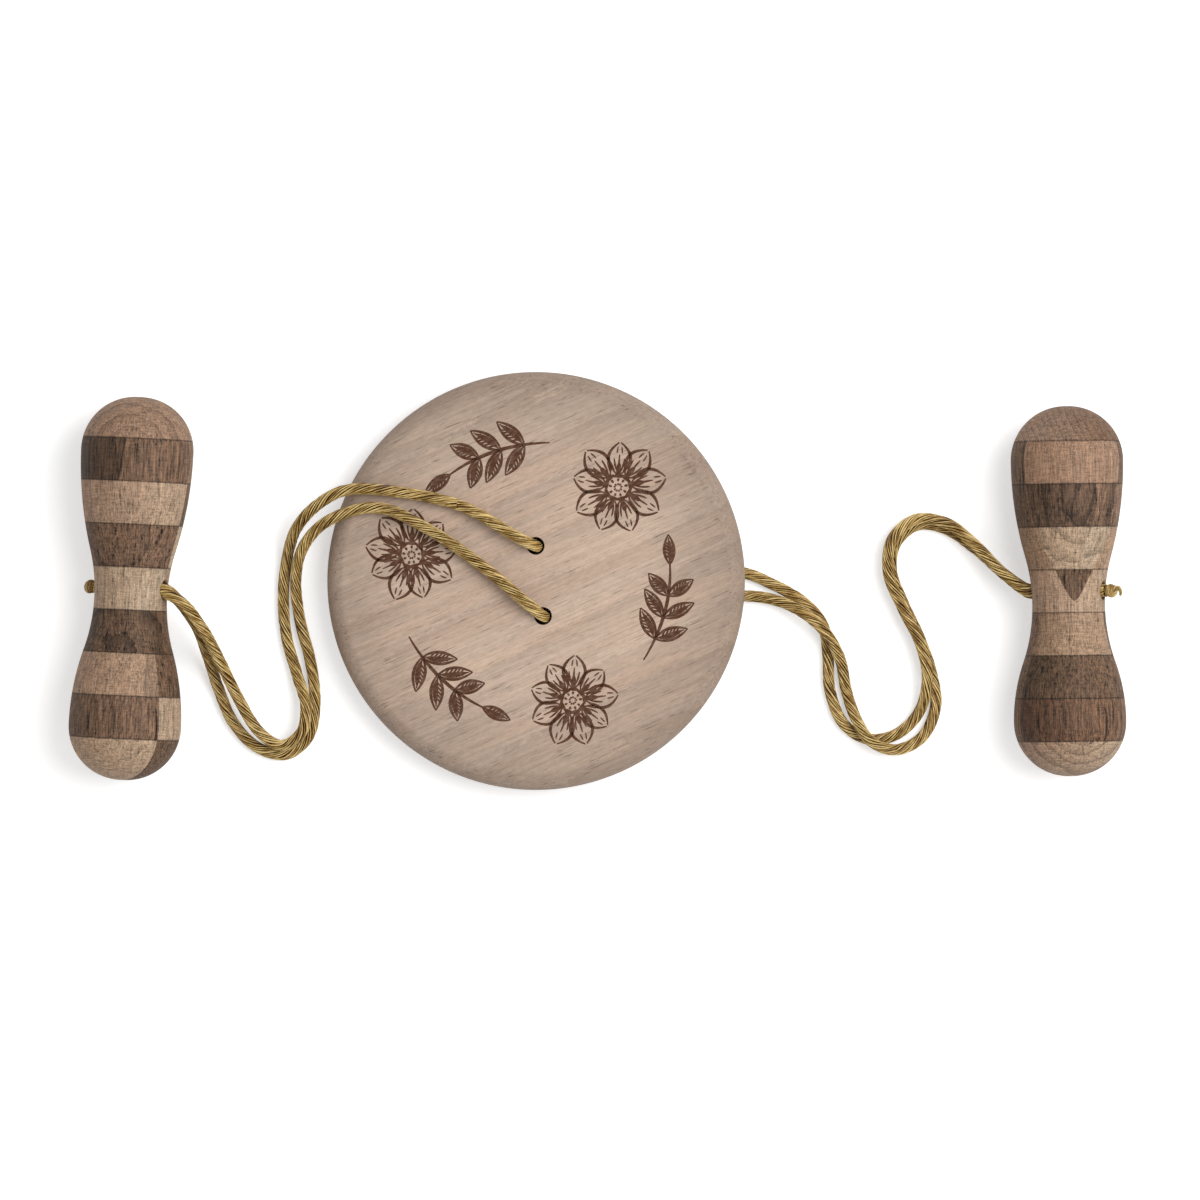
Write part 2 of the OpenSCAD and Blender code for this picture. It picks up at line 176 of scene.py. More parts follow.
# Along x, in metres, two places each for the disc's turn and a handle's pull; strands part at the pull's
# first
SPIN_HOLD = {"left": (-0.0158, -0.0295), "right": (-0.0098, 0.014)}
PULL_HOLD = {"left": (-0.0315, -0.058), "right": (0.0185, 0.046)}

# Strokes of a petal, in millimetres from the flower's middle: start, bend and end, steps, share of the
# line's width, and height over the wood. Those of the sides are drawn on both sides of the petal.
PETAL_SIDES = (
    ((3, 0.4), (7, 4.8), (10.4, 0.2), 10, 1.0, 0.0),
    ((3.8, 0.5), (5.4, 1.1), (6.7, 1.2), 4, 0.62, 0.004),
    ((3.8, 1), (4.8, 1.6), (5.7, 1.9), 4, 0.6, 0.006),
    ((9.4, 0.4), (8.6, 0.6), (7.9, 0.6), 3, 0.5, 0.006),
)
PETAL_MIDDLE = (
    ((3.6, 0), (5.6, 0.1), (7.6, 0), 4, 0.62, 0.008),
    ((2.8, 0), (4.2, 0.1), (5.6, 0), 5, 1.7, 0.003),
    ((2.5, -1.1), (2.9, 0), (2.5, 1.1), 5, 1.3, 0.012),
    ((1.7, -0.2), (1.8, 0), (1.7, 0.3), 3, 1.1, 0.004),
    ((0.7, -0.2), (0.8, 0), (0.7, 0.2), 3, 0.8, 0.002),
)

# Corners of the mesh across one yarn, and round what is turned on a lathe
YARN_SIDES = 5
DISC_SIDES = 256
HANDLE_SIDES = 144
DRILL_SIDES = 64
# Rings at the beginning of a strand that lie at the disc, where the strand isn't split
HOLE_RINGS = 40
# In widths of a cord: how far down and ahead a strand bends as it leaves the disc's underside, and the
# lowest that its middle may lie
EXIT_DROP = 0.45
EXIT_AHEAD = 0.3
LOWEST = 0.51
# Inside a bore, how far a cord lies off the middle of the pair, and the share of its width that is left
BORE_APART = 0.34
BORE_FLAT = 0.6
# The mouth of a bore, in widths of a cord: how far each cord lies off the middle of the pair there and
# one width further in, how far the left pair leans, and over what length the cords are pressed together
MOUTH_APART = 0.4
INSIDE_APART = 0.3
MOUTH_LEAN = -0.17
PRESS_LENGTH = 2.6
# How much flatter a pressed cord is across the pair, and how much wider it is level with it
PRESS_FLAT = 0.4
PRESS_WIDE = 0.35
# Room between a cord and the wall of a bore, and how fast the lead at the bore's mouth opens
WALL_ROOM = 0.1 * MM
LEAD_SLOPE = 1.5
# How thick a free strand and a knot's winding are, as shares of the cord's diameter
STRAND_WIDTH = 0.91
KNOT_WIDTH = 0.62

SENSOR_WIDTH = 36
VIEW_LEVEL = 0.01
LAMP_SIZE = 0.9
LAMP_PLACE = (0.6, 0.2, 1.1)
FLOOR_HALF = 3.0


def length(name, description, millimetres):
    """A size, written in millimetres."""
    return FloatProperty(name=name, description=description, default=millimetres * MM, unit="LENGTH")


def turn(name, description, degrees):
    """An angle, written in degrees."""
    return FloatProperty(name=name, description=description, default=math.radians(degrees), subtype="ANGLE")


def tone(name, description, code):
    """A colour, written as six hexadecimal digits."""
    return FloatVectorProperty(name=name, description=description, default=srgb(code), subtype="COLOR")


class SpinnerDisc(PropertyGroup):
    """Sizes and colours of the disc."""

    diameter: length("Diameter", "Width of the disc", 95)
    thickness: length("Thickness", "Height of the disc", 11)
    edge_radius: length("Edge radius", "Rounding of both rims", 4)
    hole_pitch: length("Hole pitch", "Distance between the two cord holes", 16)
    hole_diameter: length("Hole diameter", "Width of a cord hole", 3.8)
    hole_ease: length("Hole ease", "How far the rim of a hole is eased", 0.12)
    hole_shift: length("Hole shift", "How far the holes lie off the middle", 1.2)
    hole_turn: turn("Hole turn", "Turn of the pair of holes", 6)
    grain_turn: turn("Grain turn", "Rise of the grain to the right", 24)
    pale: tone("Pale wood", "Tone of the early wood", "c3ae9b")
    deep: tone("Deep wood", "Tone of the late wood", "a78f80")
    burnt: tone("Burnt line", "Tone of the burnt sprigs", "543626")
    sprig_ring: length("Sprig ring", "Radius of the ring of flowers and sprigs", 28.5)


class SpinnerHandle(PropertyGroup):
    """Sizes of the handles."""

    grip_diameter: length("Grip diameter", "Widest part of a handle", 25.5)
    waist_diameter: length("Waist diameter", "Narrowest part of a handle", 16.5)
    waist_curve: length("Waist curve", "Radius of the hollow at the waist", 40)
    left_low: length("Left waist low", "How far the left waist lies below the middle", 2)
    right_low: length("Right waist low", "How far the right waist lies below the middle", 3)
    left_length: length("Left length", "Length of the left handle", 87)
    right_length: length("Right length", "Length of the right handle", 84)
    left_end: length("Left end", "Rounding of the left handle's ends", 12.2)
    right_end: length("Right end", "Rounding of the right handle's ends", 12.4)
    blocks: IntProperty(name="Blocks", description="Blocks along a handle", default=9)
    block_length: length("Block length", "Length of one block", 9.7)
    bore_diameter: length("Bore diameter", "Width of the cross bore", 4.2)
    bore_ease: length("Bore ease", "How far the mouths of the bore are eased", 0.2)
    bore_lead: length("Bore lead", "How far the cords stand out before they swell", 0.6)


class SpinnerCord(PropertyGroup):
    """Sizes and colours of the cords."""

    diameter: length("Diameter", "Width of a cord", 2.9)
    yarns: IntProperty(name="Yarns", description="Yarns round a cord", default=13)
    pitch: length("Pitch", "Length of one turn of the yarns", 17.8)
    groove: length("Groove", "Depth of the grooves between yarns", 0.42)
    ring_step: length("Ring step", "Distance between the rings of a cord's mesh", 0.36)
    # The yarn tone is for the crests; the side and groove tones are painted shade down the yarns' sides and
    # between them
    crest: tone("Yarn", "Tone of the yarns", "e6ca88")
    flank: tone("Yarn side", "Tone of the sides of the yarns", "997431")
    hollow: tone("Groove tone", "Tone between the yarns", "331500")


class SpinnerStage(PropertyGroup):
    """Camera, light and floor."""

    view_width: length("View width", "Width that the camera sees", 272.7)
    view_x: length("View x", "Middle of the view", 0.57)
    view_y: length("View y", "Middle of the view", -4.32)
    lens: FloatProperty(name="Lens", description="Focal length in millimetres", default=250)
    key_power: FloatProperty(name="Key power", description="Watts of the large lamp", default=11)
    fill: FloatProperty(name="Fill", description="Strength of the light from all round", default=0.54)
    floor: FloatVectorProperty(
        name="Floor", description="Tone of the floor", default=(0.9, 0.9, 0.9), subtype="COLOR")


def settings(name):
    """One of the groups of sizes, from the scene."""
    return getattr(bpy.context.scene, f"spinner_{name}")


# Frames and paths

def frame_of(x, y, z, origin):
    """The matrix whose axes and origin are given."""
    made = Matrix((x, y, z)).transposed().to_4x4()
    made.translation = origin
    return made


def disc_frame():
    """The disc's own frame: z along its axis, x up its lean, the origin at its middle."""
    hinge = JOINTS["disc_spin"]
    z = Vector(hinge["axis"]).normalized()
    y = Vector((0, 1, 0))
    x = y.cross(z)
    return frame_of(x, y, z, Vector(hinge["pos_m"]) - x * settings("disc").hole_shift)


def handle_frame(side):
    """A handle's own frame: x to the right, y up, z along it towards its bottom end."""
    hinge = JOINTS[f"{side}_handle_swivel"]
    x = Vector((hinge["axis"][0], hinge["axis"][1], 0)).normalized()
    y = Vector((0, 0, 1))
    return frame_of(x, y, x.cross(y), Vector(hinge["pos_m"]))


def bore_frame(side):
    """The frame of a handle's bore: z along it to the right, y up across both cords."""
    hinge = JOINTS[f"{side}_handle_swivel"]
    z = Vector(hinge["axis"]).normalized()
    level = Vector((z.y, -z.x, 0)).normalized()
    y = level.cross(z)
    return frame_of(y.cross(z), y, z, Vector(hinge["pos_m"]))


def bore_reach(side):
    """Half the length of a handle's bore: the handle's radius at its middle, beside the waist."""
    handle = settings("handle")
    low = getattr(handle, f"{side}_low")
    sink = math.sqrt(handle.waist_curve ** 2 - low ** 2)
    return handle.waist_diameter / 2 + handle.waist_curve - sink


def hole_end(strand, face):
    """The middle of a cord hole on the disc's top face for 1, or its underside for -1."""
    disc = settings("disc")
    side = 1 if strand == "a" else -1
    reach = side * disc.hole_pitch / 2
    x = disc.hole_shift - reach * math.sin(disc.hole_turn)
    y = reach * math.cos(disc.hole_turn)
    return disc_frame() @ Vector((x, y, face * disc.thickness / 2))


def metres(points):
    """Points that are written in millimetres, as vectors in metres."""
    return [Vector([part * MM for part in point]) for point in points]


def smooth_path(points, start_dir, end_dir, step):
    """Points a step apart on a smooth curve through the given ones, with given directions at its ends."""
    before = points[0] - start_dir * (points[1] - points[0]).length
    after = points[-1] + end_dir * (points[-1] - points[-2]).length
    knots = [before, *points, after]
    dense = []
    for p0, p1, p2, p3 in zip(knots, knots[1:], knots[2:], knots[3:]):
        t1 = (p1 - p0).length ** 0.5
        t2 = t1 + (p2 - p1).length ** 0.5
        t3 = t2 + (p3 - p2).length ** 0.5
        count = max(4, int((p2 - p1).length / step * 2))
        for i in range(count):
            t = t1 + (t2 - t1) * i / count
            a1 = p0.lerp(p1, t / t1)
            a2 = p1.lerp(p2, (t - t1) / (t2 - t1))
            a3 = p2.lerp(p3, (t - t2) / (t3 - t2))
            b1 = a1.lerp(a2, t / t2)
            b2 = a2.lerp(a3, (t - t1) / (t3 - t1))
            dense.append(b1.lerp(b2, (t - t1) / (t2 - t1)))
    dense.append(points[-1])
    return even_points(dense, step)


def even_points(dense, step):
    """Points about a step apart along a close line of points."""
    total = path_length(dense)
    count = max(2, round(total / step))
    gap = total / count
    made = [dense[0].copy()]
    walked = 0.0
    for a, b in zip(dense, dense[1:]):
        stretch = (b - a).length
        while len(made) < count and walked + stretch >= gap * len(made) and stretch > 0:
            made.append(a.lerp(b, (gap * len(made) - walked) / stretch))
        walked += stretch
    made.append(dense[-1].copy())
    return made


def path_length(points):
    return sum((b - a).length for a, b in zip(points, points[1:]))


def ways_along(points):
    """The direction of travel at each point."""
    last = len(points) - 1
    return [(points[min(i + 1, last)] - points[max(i - 1, 0)]).normalized() for i in range(last + 1)]


def clamp(value, low=0.0, high=1.0):
    return min(max(value, low), high)


# Meshes

def add_object(name, data):
    """Puts a new object into the scene under a name."""
    made = bpy.data.objects.new(name, data)
    bpy.context.scene.collection.objects.link(made)
    return made


def add_piece(name, mesh, material):
    """Puts a finished mesh into the scene, all of one material."""
    mesh.materials.clear()
    mesh.materials.append(material)
    return add_object(name, mesh)


def take_mesh(made):
    """The mesh of an object with its modifiers applied; the object itself goes away."""
    evaluated = made.evaluated_get(bpy.context.evaluated_depsgraph_get())
    mesh = bpy.data.meshes.new_from_object(evaluated)
    mesh.name = made.name
    bpy.data.objects.remove(made)
    return mesh


def point_attribute(mesh, name, kind, values):
    """Writes one value for each point of a mesh."""
    field = {"FLOAT_COLOR": "color", "FLOAT_VECTOR": "vector", "FLOAT": "value"}[kind]
    layer = mesh.attributes.new(name, kind, "POINT")
    layer.data.foreach_set(field, [part for value in values for part in value])


def arc(centre, radius, start, end, step):
    """Points on an arc in degrees, as pairs of radius and height, about a step apart."""
    count = max(3, math.ceil(abs(math.radians(end - start)) * radius / step))
    angles = [math.radians(start + (end - start) * i / count) for i in range(count + 1)]
    return [(centre[0] + radius * math.cos(a), centre[1] + radius * math.sin(a)) for a in angles]


def lathe(profile, segments):
    """A closed turned solid from pairs of radius and height that begin and end on the axis."""
    bm = bmesh.new()
    angles = [2 * math.pi * i / segments for i in range(segments)]
    rings = []
    for radius, height in profile:
        if radius < 1e-7:
            rings.append([bm.verts.new((0, 0, height))])
            continue
        rings.append([bm.verts.new((radius * math.cos(a), radius * math.sin(a), height)) for a in angles])
    for low, high in zip(rings, rings[1:]):
        for i in range(segments):
            j = (i + 1) % segments
            corners = [low[i % len(low)], low[j % len(low)], high[j % len(high)], high[i % len(high)]]
            bm.faces.new(list(dict.fromkeys(corners)))
    bmesh.ops.recalc_face_normals(bm, faces=bm.faces)
    return bm


def bm_mesh(bm, name):
    """Turns a bmesh into a mesh and lets go of it."""
    mesh = bpy.data.meshes.new(name)
    bm.to_mesh(mesh)
    bm.free()
    return mesh


def drilled(mesh, drill, places):
    """The mesh less a turned drill at each of the places."""
    made = add_object(mesh.name, mesh)
    tools = []
    for place in places:
        tool_mesh = bm_mesh(lathe(drill, DRILL_SIDES), "drill")
        tool_mesh.transform(place)
        tool = add_object("drill", tool_mesh)
        modifier = made.modifiers.new("drill", "BOOLEAN")
        modifier.operation = "DIFFERENCE"
        modifier.solver = "EXACT"
        modifier.object = tool
        tools.append(tool)
    bpy.context.view_layer.update()
    result = take_mesh(made)
    for tool in tools:
        bpy.data.objects.remove(tool)
    return result


def drill_profile(radius, half_length, ease):
    """The outline of a drill that eases both mouths of its hole, which lie half_length off the middle."""
    upper = [(radius, half_length - ease), (radius + ease, half_length),
             (radius + 3 * ease, half_length + 3 * ease), (0, half_length + 3 * ease)]
    return [(r, -z) for r, z in reversed(upper)] + upper


def mark_bores(mesh, places, radius):
    """Marks the faces on the walls of bored holes, whose axes are the z axes of the given places, for painted
    shade.
    """
    inside = [False] * len(mesh.vertices)
    for place in places:
        inverse = place.inverted()
        for vertex in mesh.vertices:
            spot = inverse @ vertex.co
            inside[vertex.index] = inside[vertex.index] or math.hypot(spot.x, spot.y) < radius
    layer = mesh.attributes.new("bored", "FLOAT", "FACE")
    layer.data.foreach_set("value", [float(all(inside[i] for i in face.vertices)) for face in mesh.polygons])


def smooth_with_edges(mesh, degrees=20):
    """Smooth shading, with edges kept where faces meet at more than an angle."""
    mesh.shade_smooth()
    mesh.set_sharp_from_angle(angle=math.radians(degrees))


def cut(bm, point, normal):
    """Keeps what lies behind a plane and closes the cut."""
    every = bm.verts[:] + bm.edges[:] + bm.faces[:]
    done = bmesh.ops.bisect_plane(
        bm, geom=every, plane_co=point, plane_no=normal, clear_outer=True, dist=1e-8)
    edges = [e for e in done["geom_cut"] if isinstance(e, bmesh.types.BMEdge)]
    if edges:
        bmesh.ops.holes_fill(bm, edges=edges, sides=0)
    bmesh.ops.recalc_face_normals(bm, faces=bm.faces)


# Cords

def within_bore(side, place):
    """A point of a cord, kept off the wall of a handle's bore and of the lead at its mouth."""
    bore = bore_frame(side)
    local = bore.inverted() @ place
    past_mouth = max(abs(local.z) - bore_reach(side), 0)
    room = settings("handle").bore_diameter / 2 - WALL_ROOM + LEAD_SLOPE * past_mouth
    off_middle = math.hypot(local.x, local.y)
    if off_middle <= room:
        return place
    return bore @ Vector((local.x * room / off_middle, local.y * room / off_middle, local.z))


def rope_mesh(name, points, mouth=None, start_at=0.0, width=1.0, flat=None, tip=None):
    """A cord of twisted yarns along close points.

    mouth names the handle that the cord's end is pressed into, where it is flatter and wider. flat
    gives a direction and the share of the width that is left along it all the way. tip gives the
    share of the length past which the cord thins out, and how much is left at its end.
    """
    cord = settings("cord")
    sides = cord.yarns * YARN_SIDES
    bounds = [yarn + 0.55 * noise.noise(Vector((yarn * 2.3, 0.7, 0.4))) for yarn in range(cord.yarns)]
    bounds.append(bounds[0] + cord.yarns)
    side = Vector((0.31, 0.94, 0.12))
    places, lay, crest, shades = [], [], [], []
    walked = start_at
    total = path_length(points)
    salt = sum(ord(letter) for letter in name) % 97
    if mouth:
        level_bore, across_bore = (bore_frame(mouth).col[i].to_3d() for i in (0, 1))
    for i, (point, way) in enumerate(zip(points, ways_along(points))):
        if i:
            walked += (point - points[i - 1]).length
        side = (side - way * side.dot(way)).normalized()
        other = way.cross(side)
        done = (walked - start_at) / total
        pressed = 0.0
        if mouth:
            ease = clamp(1 - (1 - done) * total / (PRESS_LENGTH * cord.diameter))
            pressed = ease * ease * (3 - 2 * ease)
        thin = width
        if tip and done > tip[0]:
            thin *= 1 - (1 - tip[1]) * (done - tip[0]) / (1 - tip[0])
        groove = cord.groove * thin
        for yarn in range(cord.yarns):
            spot = Vector((yarn * 3.7 + salt, walked / 0.005, 0.5))
            uneven = noise.noise(spot)
            slip = 0.12 * noise.noise(spot + Vector((0, 0, 9.3)))
            open_gap = clamp(0.8 + 0.8 * noise.noise(spot + Vector((0, 0, 4.1))), 0.25)
            shade = 0.5 + 0.5 * noise.noise(Vector((yarn * 5.1, walked / 0.02, salt)))
            for k in range(YARN_SIDES):
                share = k / YARN_SIDES
                round_cord = bounds[yarn] + (bounds[yarn + 1] - bounds[yarn]) * share
                round_cord *= 2 * math.pi / cord.yarns
                bulge = math.sqrt(1 - 0.97 * (2 * share - 1) ** 2)
                reach = cord.diameter / 2 * thin - groove * (1 - bulge) * (1 + 0.5 * uneven)
                reach -= groove * 0.3 * max(uneven, 0)
                angle = round_cord + slip - 2 * math.pi * walked / cord.pitch
                offset = (side * math.cos(angle) + other * math.sin(angle)) * reach
                if pressed:
                    offset -= across_bore * offset.dot(across_bore) * PRESS_FLAT * pressed
                    offset += level_bore * offset.dot(level_bore) * PRESS_WIDE * pressed
                if flat:
                    offset -= flat[0] * offset.dot(flat[0]) * (1 - flat[1])
                places.append(within_bore(mouth, point + offset) if pressed else point + offset)
                turned = cord.diameter / 2 / MM
                lay.append((turned * math.cos(round_cord), turned * math.sin(round_cord), walked / MM))
                # Crest is 1 on a yarn's top and lower towards its edges; the cord's material paints shade
                # from it
                crest.append((1 - (1 - bulge) * open_gap,))
                shades.append((shade,))
    last = (len(points) - 1) * sides
    faces = []
    for low in range(0, last, sides):
        for j in range(sides):
            k = (j + 1) % sides
            faces.append((low + j, low + k, low + sides + k, low + sides + j))
    faces.append(tuple(reversed(range(sides))))
    faces.append(tuple(range(last, last + sides)))
    mesh = bpy.data.meshes.new(name)
    mesh.from_pydata(places, [], faces)
    point_attribute(mesh, "lay", "FLOAT_VECTOR", lay)
    point_attribute(mesh, "crest", "FLOAT", crest)
    point_attribute(mesh, "tone", "FLOAT", shades)
    smooth_with_edges(mesh, 60)
    return mesh


def strand_points(side, strand):
    """The points of one strand: up or down out of its hole, along its route and into its handle."""
    disc = disc_frame()
    axis = disc.col[2].to_3d()
    bore = bore_frame(side)
    wide = settings("cord").diameter
    route = metres(ROUTES[f"{side}_{strand}"])
    up = 1 if strand == "a" else -1
    if side == "left":
        to_disc, start, lean = 1, axis, MOUTH_LEAN * wide
        points = [hole_end(strand, face) for face in (-1, 0, 1)]
        top = Vector((0, 0, settings("disc").thickness / 2))
        points += [disc @ (place + top) for place in metres(OVER_DISC[strand])]
    else:
        to_disc, start, lean = -1, -axis, 0
        under = hole_end(strand, -1)
        ahead = (route[0] - under).normalized()
        points = [under, under - axis * wide * EXIT_DROP + ahead * wide * EXIT_AHEAD]
    mouth = bore_reach(side) + settings("handle").bore_lead
    points += route
    points.append(bore @ Vector((lean, up * MOUTH_APART * wide, to_disc * mouth)))
    points.append(bore @ Vector((lean / 3, up * INSIDE_APART * wide, to_disc * (mouth - wide))))
    path = smooth_path(points, start, -to_disc * bore.col[2].to_3d(), settings("cord").ring_step)
    for point in path:
        point.z = max(point.z, LOWEST * wide)
    return path


def strand_pieces(side, strand, material):
    """One strand as two pieces: one by the disc, and one that runs into a handle."""
    cord = settings("cord")
    path = strand_points(side, strand)
    outward = -1 if side == "left" else 1
    hold = PULL_HOLD[side][0]
    parting = next(i for i, p in enumerate(path) if i > HOLE_RINGS and outward * p.x > outward * hold)
    inner, outer = path[:parting + 1], path[parting:]
    for part, points, bodies, (start, end) in (
            ("inner", inner, ("disc", "cord"), SPIN_HOLD[side]),
            ("outer", outer, ("cord", f"{side}_cord_end"), PULL_HOLD[side])):
        name = f"{side}_strand_{strand}_{part}"
        mouth = side if part == "outer" else None
        mesh = rope_mesh(name, points, mouth, 0 if part == "inner" else path_length(inner), STRAND_WIDTH)
        piece = add_piece(name, mesh, material)
        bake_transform(piece)
        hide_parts(f"{side}_strand_{strand}")
        if part == "inner" and side == "left":
            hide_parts(f"disc_strand_{strand}")
        path_length(points)


# Shader nodes

class Value:
    """An output of a node. Sums, products and steps of values add the nodes that work them out."""

    def __init__(self, tree, socket):
        self.tree = tree
        self.socket = socket

    def math(self, operation, *others):
        return math_node(self.tree, operation, self, *others)

    def __add__(self, other):
        return self.math("ADD", other)

    def __sub__(self, other):
        return self.math("SUBTRACT", other)

    def __rsub__(self, other):
        return math_node(self.tree, "SUBTRACT", other, self)

    def __mul__(self, other):
        return self.math("MULTIPLY", other)

    def __truediv__(self, other):
        return self.math("DIVIDE", other)

    def clamped(self):
        return math_node(self.tree, "ADD", self, 0.0, clamped=True)

    def ramp(self, low, high, start=0.0, end=1.0):
        """A smooth step between two limits."""
        values = {"Value": self, "From Min": low, "From Max": high, "To Min": start, "To Max": end}
        return output(self.tree, "ShaderNodeMapRange", values, "Result", interpolation_type="SMOOTHSTEP")


def node(tree, kind, values=None, **options):
    """Adds a node, sets its options, and sets or links its inputs by name or number."""
    made = tree.nodes.new(kind)
    for key, value in options.items():
        setattr(made, key, value)
    for key, value in (values or {}).items():
        if isinstance(value, Value):
            tree.links.new(value.socket, made.inputs[key])
        else:
            made.inputs[key].default_value = value
    return made


def output(tree, kind, values=None, key=0, **options):
    """Adds a node and gives one of its outputs."""
    return Value(tree, node(tree, kind, values, **options).outputs[key])


def math_node(tree, operation, *values, clamped=False):
    return output(tree, "ShaderNodeMath", dict(enumerate(values)), operation=operation, use_clamp=clamped)


def vector_math(tree, operation, *values, key=0):
    return output(tree, "ShaderNodeVectorMath", dict(enumerate(values)), key, operation=operation)


def scaled(tree, vector, level):
    return output(tree, "ShaderNodeVectorMath", {0: vector, "Scale": level}, operation="SCALE")


def off_axis(tree, place, across):
    """How far a place lies from an axis, given the directions across it."""
    return vector_math(tree, "LENGTH", vector_math(tree, "MULTIPLY", place, across), key="Value")


def split(tree, vector):
    """The three parts of a vector."""
    return [Value(tree, part) for part in node(tree, "ShaderNodeSeparateXYZ", {0: vector}).outputs]


def combined(tree, **parts):
    """A vector from its parts."""
    return output(tree, "ShaderNodeCombineXYZ", parts)


def mix(tree, share, first, second):
    """A colour between two."""
    values = {"Factor": share, "A": first, "B": second}
    return output(tree, "ShaderNodeMix", values, "Result", data_type="RGBA")


def attribute(tree, name, key):
    return output(tree, "ShaderNodeAttribute", key=key, attribute_name=name, attribute_type="GEOMETRY")


def scaled_noise(tree, place, scale, detail, roughness=0.55):
    """Noise that is stretched by a scale along each axis."""
    vector = vector_math(tree, "MULTIPLY", place, scale)
    values = {"Vector": vector, "Scale": 1.0, "Detail": detail, "Roughness": roughness}
    return output(tree, "ShaderNodeTexNoise", values, "Fac")


def sockets(tree, inputs, outputs):
    """Makes the sockets of a group and gives the values of its inputs by name."""
    for name, kind, default in inputs:
        socket = tree.interface.new_socket(name, in_out="INPUT", socket_type=f"NodeSocket{kind}")
        if default is not None:
            socket.default_value = default
    for name, kind in outputs:
        tree.interface.new_socket(name, in_out="OUTPUT", socket_type=f"NodeSocket{kind}")
    return {socket.name: Value(tree, socket) for socket in tree.nodes.new("NodeGroupInput").outputs}


def wood_group():
    """Sanded wood: streaks along the third axis, pores, growth rings, a darker zone, glue lines, painted bore
    shade.
    """
    tree = bpy.data.node_groups.new("Sanded wood", "ShaderNodeTree")
    given = sockets(
        tree,
        (("Place", "Vector", None), ("Left Tone", "Color", None), ("Right Tone", "Color", None),
         ("Spread", "Float", 0.05), ("Mottle", "Float", 0.7), ("Zone", "Vector", None),
         ("Rings", "Vector", None), ("Ring Gap", "Float", 1.7), ("Ring Stretch", "Float", 1.0),
         ("Streaks", "Float", 0.5), ("Fine", "Float", 2.4), ("Veins", "Float", 0.35), ("Cross", "Float", 1.3),
         ("Speckle", "Float", 1.7), ("Pores", "Float", 0.3),
         ("Pore Width", "Float", 4.4), ("Pore Pitch", "Float", 0.6), ("Pore Share", "Float", 0.55),
         ("Block Length", "Float", 9.7), ("Glue", "Float", 0.6), ("Bored", "Float", 0.0)),
        (("Color", "Color"), ("Height", "Float"), ("Roughness", "Float"), ("Open", "Float")))
    place = given["Place"]
    x, _, z = split(tree, place)
    broad = scaled_noise(tree, place, (0.14, 0.14, 0.05), 2) - 0.5
    streak = scaled_noise(tree, place, (1.6, 1.6, 0.08), 4, 0.65) - 0.5
    fine = scaled_noise(tree, place, (4.0, 4.0, 0.2), 2) - 0.5
    vein = scaled_noise(tree, place, (1.15, 1.15, 0.05), 2).ramp(0.56, 0.66)
    cross = scaled_noise(tree, place, (0.4, 0.4, 5.0), 2) - 0.5
    speckle = scaled_noise(tree, place, (2.5, 2.5, 1.9), 3, 0.75)
    patch = scaled_noise(tree, place, (0.45, 0.45, 0.06), 2).ramp(0.35, 0.65)
    pore_scale = combined(tree, X=given["Pore Width"], Y=given["Pore Width"], Z=given["Pore Pitch"])
    speck = scaled_noise(tree, place, pore_scale, 2)

    # Tone from left to right, with drifting patches that are warmer or cooler
    share = (x * given["Spread"] + broad * given["Mottle"] + 0.5).clamped()
    base = mix(tree, share, given["Left Tone"], given["Right Tone"])
    warm = mix(tree, patch, (1.025, 1.0, 0.97, 1), (0.995, 1.0, 1.0, 1))
    base = vector_math(tree, "MULTIPLY", base, warm)

    # Streaks, cross lines and speckle, as a factor about 1
    lines = streak * 1.7 + fine * given["Fine"] - vein * given["Veins"]
    level = lines * given["Streaks"] + 1.02 + cross * given["Cross"] + (speckle - 0.5) * given["Speckle"]

    # A zone that is darker on one side of a slanted edge, with a thin line on the edge
    edge, slant, depth = split(tree, given["Zone"])
    off_edge = (broad * 1.5 + x - (z * slant + edge)) * depth.math("SIGN")
    inside = off_edge.ramp(-0.15, 0.15, 1.0, 0.0)
    line = off_edge.math("ABSOLUTE").ramp(0.05, 0.35, 0.9, 0.0)
    level *= 1.0 - (inside + line) * depth.math("ABSOLUTE")

    # Growth rings about a middle
    middle_x, middle_z, dark = split(tree, given["Rings"])
    dx = x - middle_x
    dz = (z - middle_z) * given["Ring Stretch"]
    far = (dx * dx + dz * dz).math("SQRT") / given["Ring Gap"] + broad * 1.6
    late = (far + speckle * 0.3).math("FRACT").math("POWER", 3.0)
    level *= 1.0 - late * dark

    # Pores, and glue lines where blocks meet
    pore = speck.ramp(given["Pore Share"], given["Pore Share"] + 0.08) * given["Pores"]
    level *= 1.0 - pore
    along = z / given["Block Length"] + 20.5
    off_joint = along.math("PINGPONG", 0.5) * given["Block Length"] + (speckle - 0.5) * 0.35
    level *= 1.0 - off_joint.ramp(0.05, 0.3, 1.0, 0.0) * given["Glue"]

    # Painted shade on the walls of bored holes, which takes them down to a small share of the wood's tone
    level *= given["Bored"] * -0.93 + 1.0

    node(tree, "NodeGroupOutput", {
        "Color": scaled(tree, base, level), "Height": lines * 0.4 - pore, "Roughness": lines * 0.1 + 0.62,
        "Open": 1.0 - given["Bored"]})
    return tree


# Materials

def find_material(name, make, *values):
    """A material by its name, made the first time that a piece asks for it."""
    return bpy.data.materials.get(name) or make(name, *values)


def material_tree(name):
    """A new material's node tree, emptied, with the material."""
    material = bpy.data.materials.new(name)
    material.use_nodes = True
    material.node_tree.nodes.clear()
    return material, material.node_tree


def finish_surface(tree, values, height=None, strength=0.0):
    """The shader of a material, with bumps where a height is given."""
    if height:
        bump = output(tree, "ShaderNodeBump", {"Height": height, "Strength": strength, "Distance": 0.0002})
        values = {**values, "Normal": bump}
    shader = output(tree, "ShaderNodeBsdfPrincipled", values)
    node(tree, "ShaderNodeOutputMaterial", {"Surface": shader})


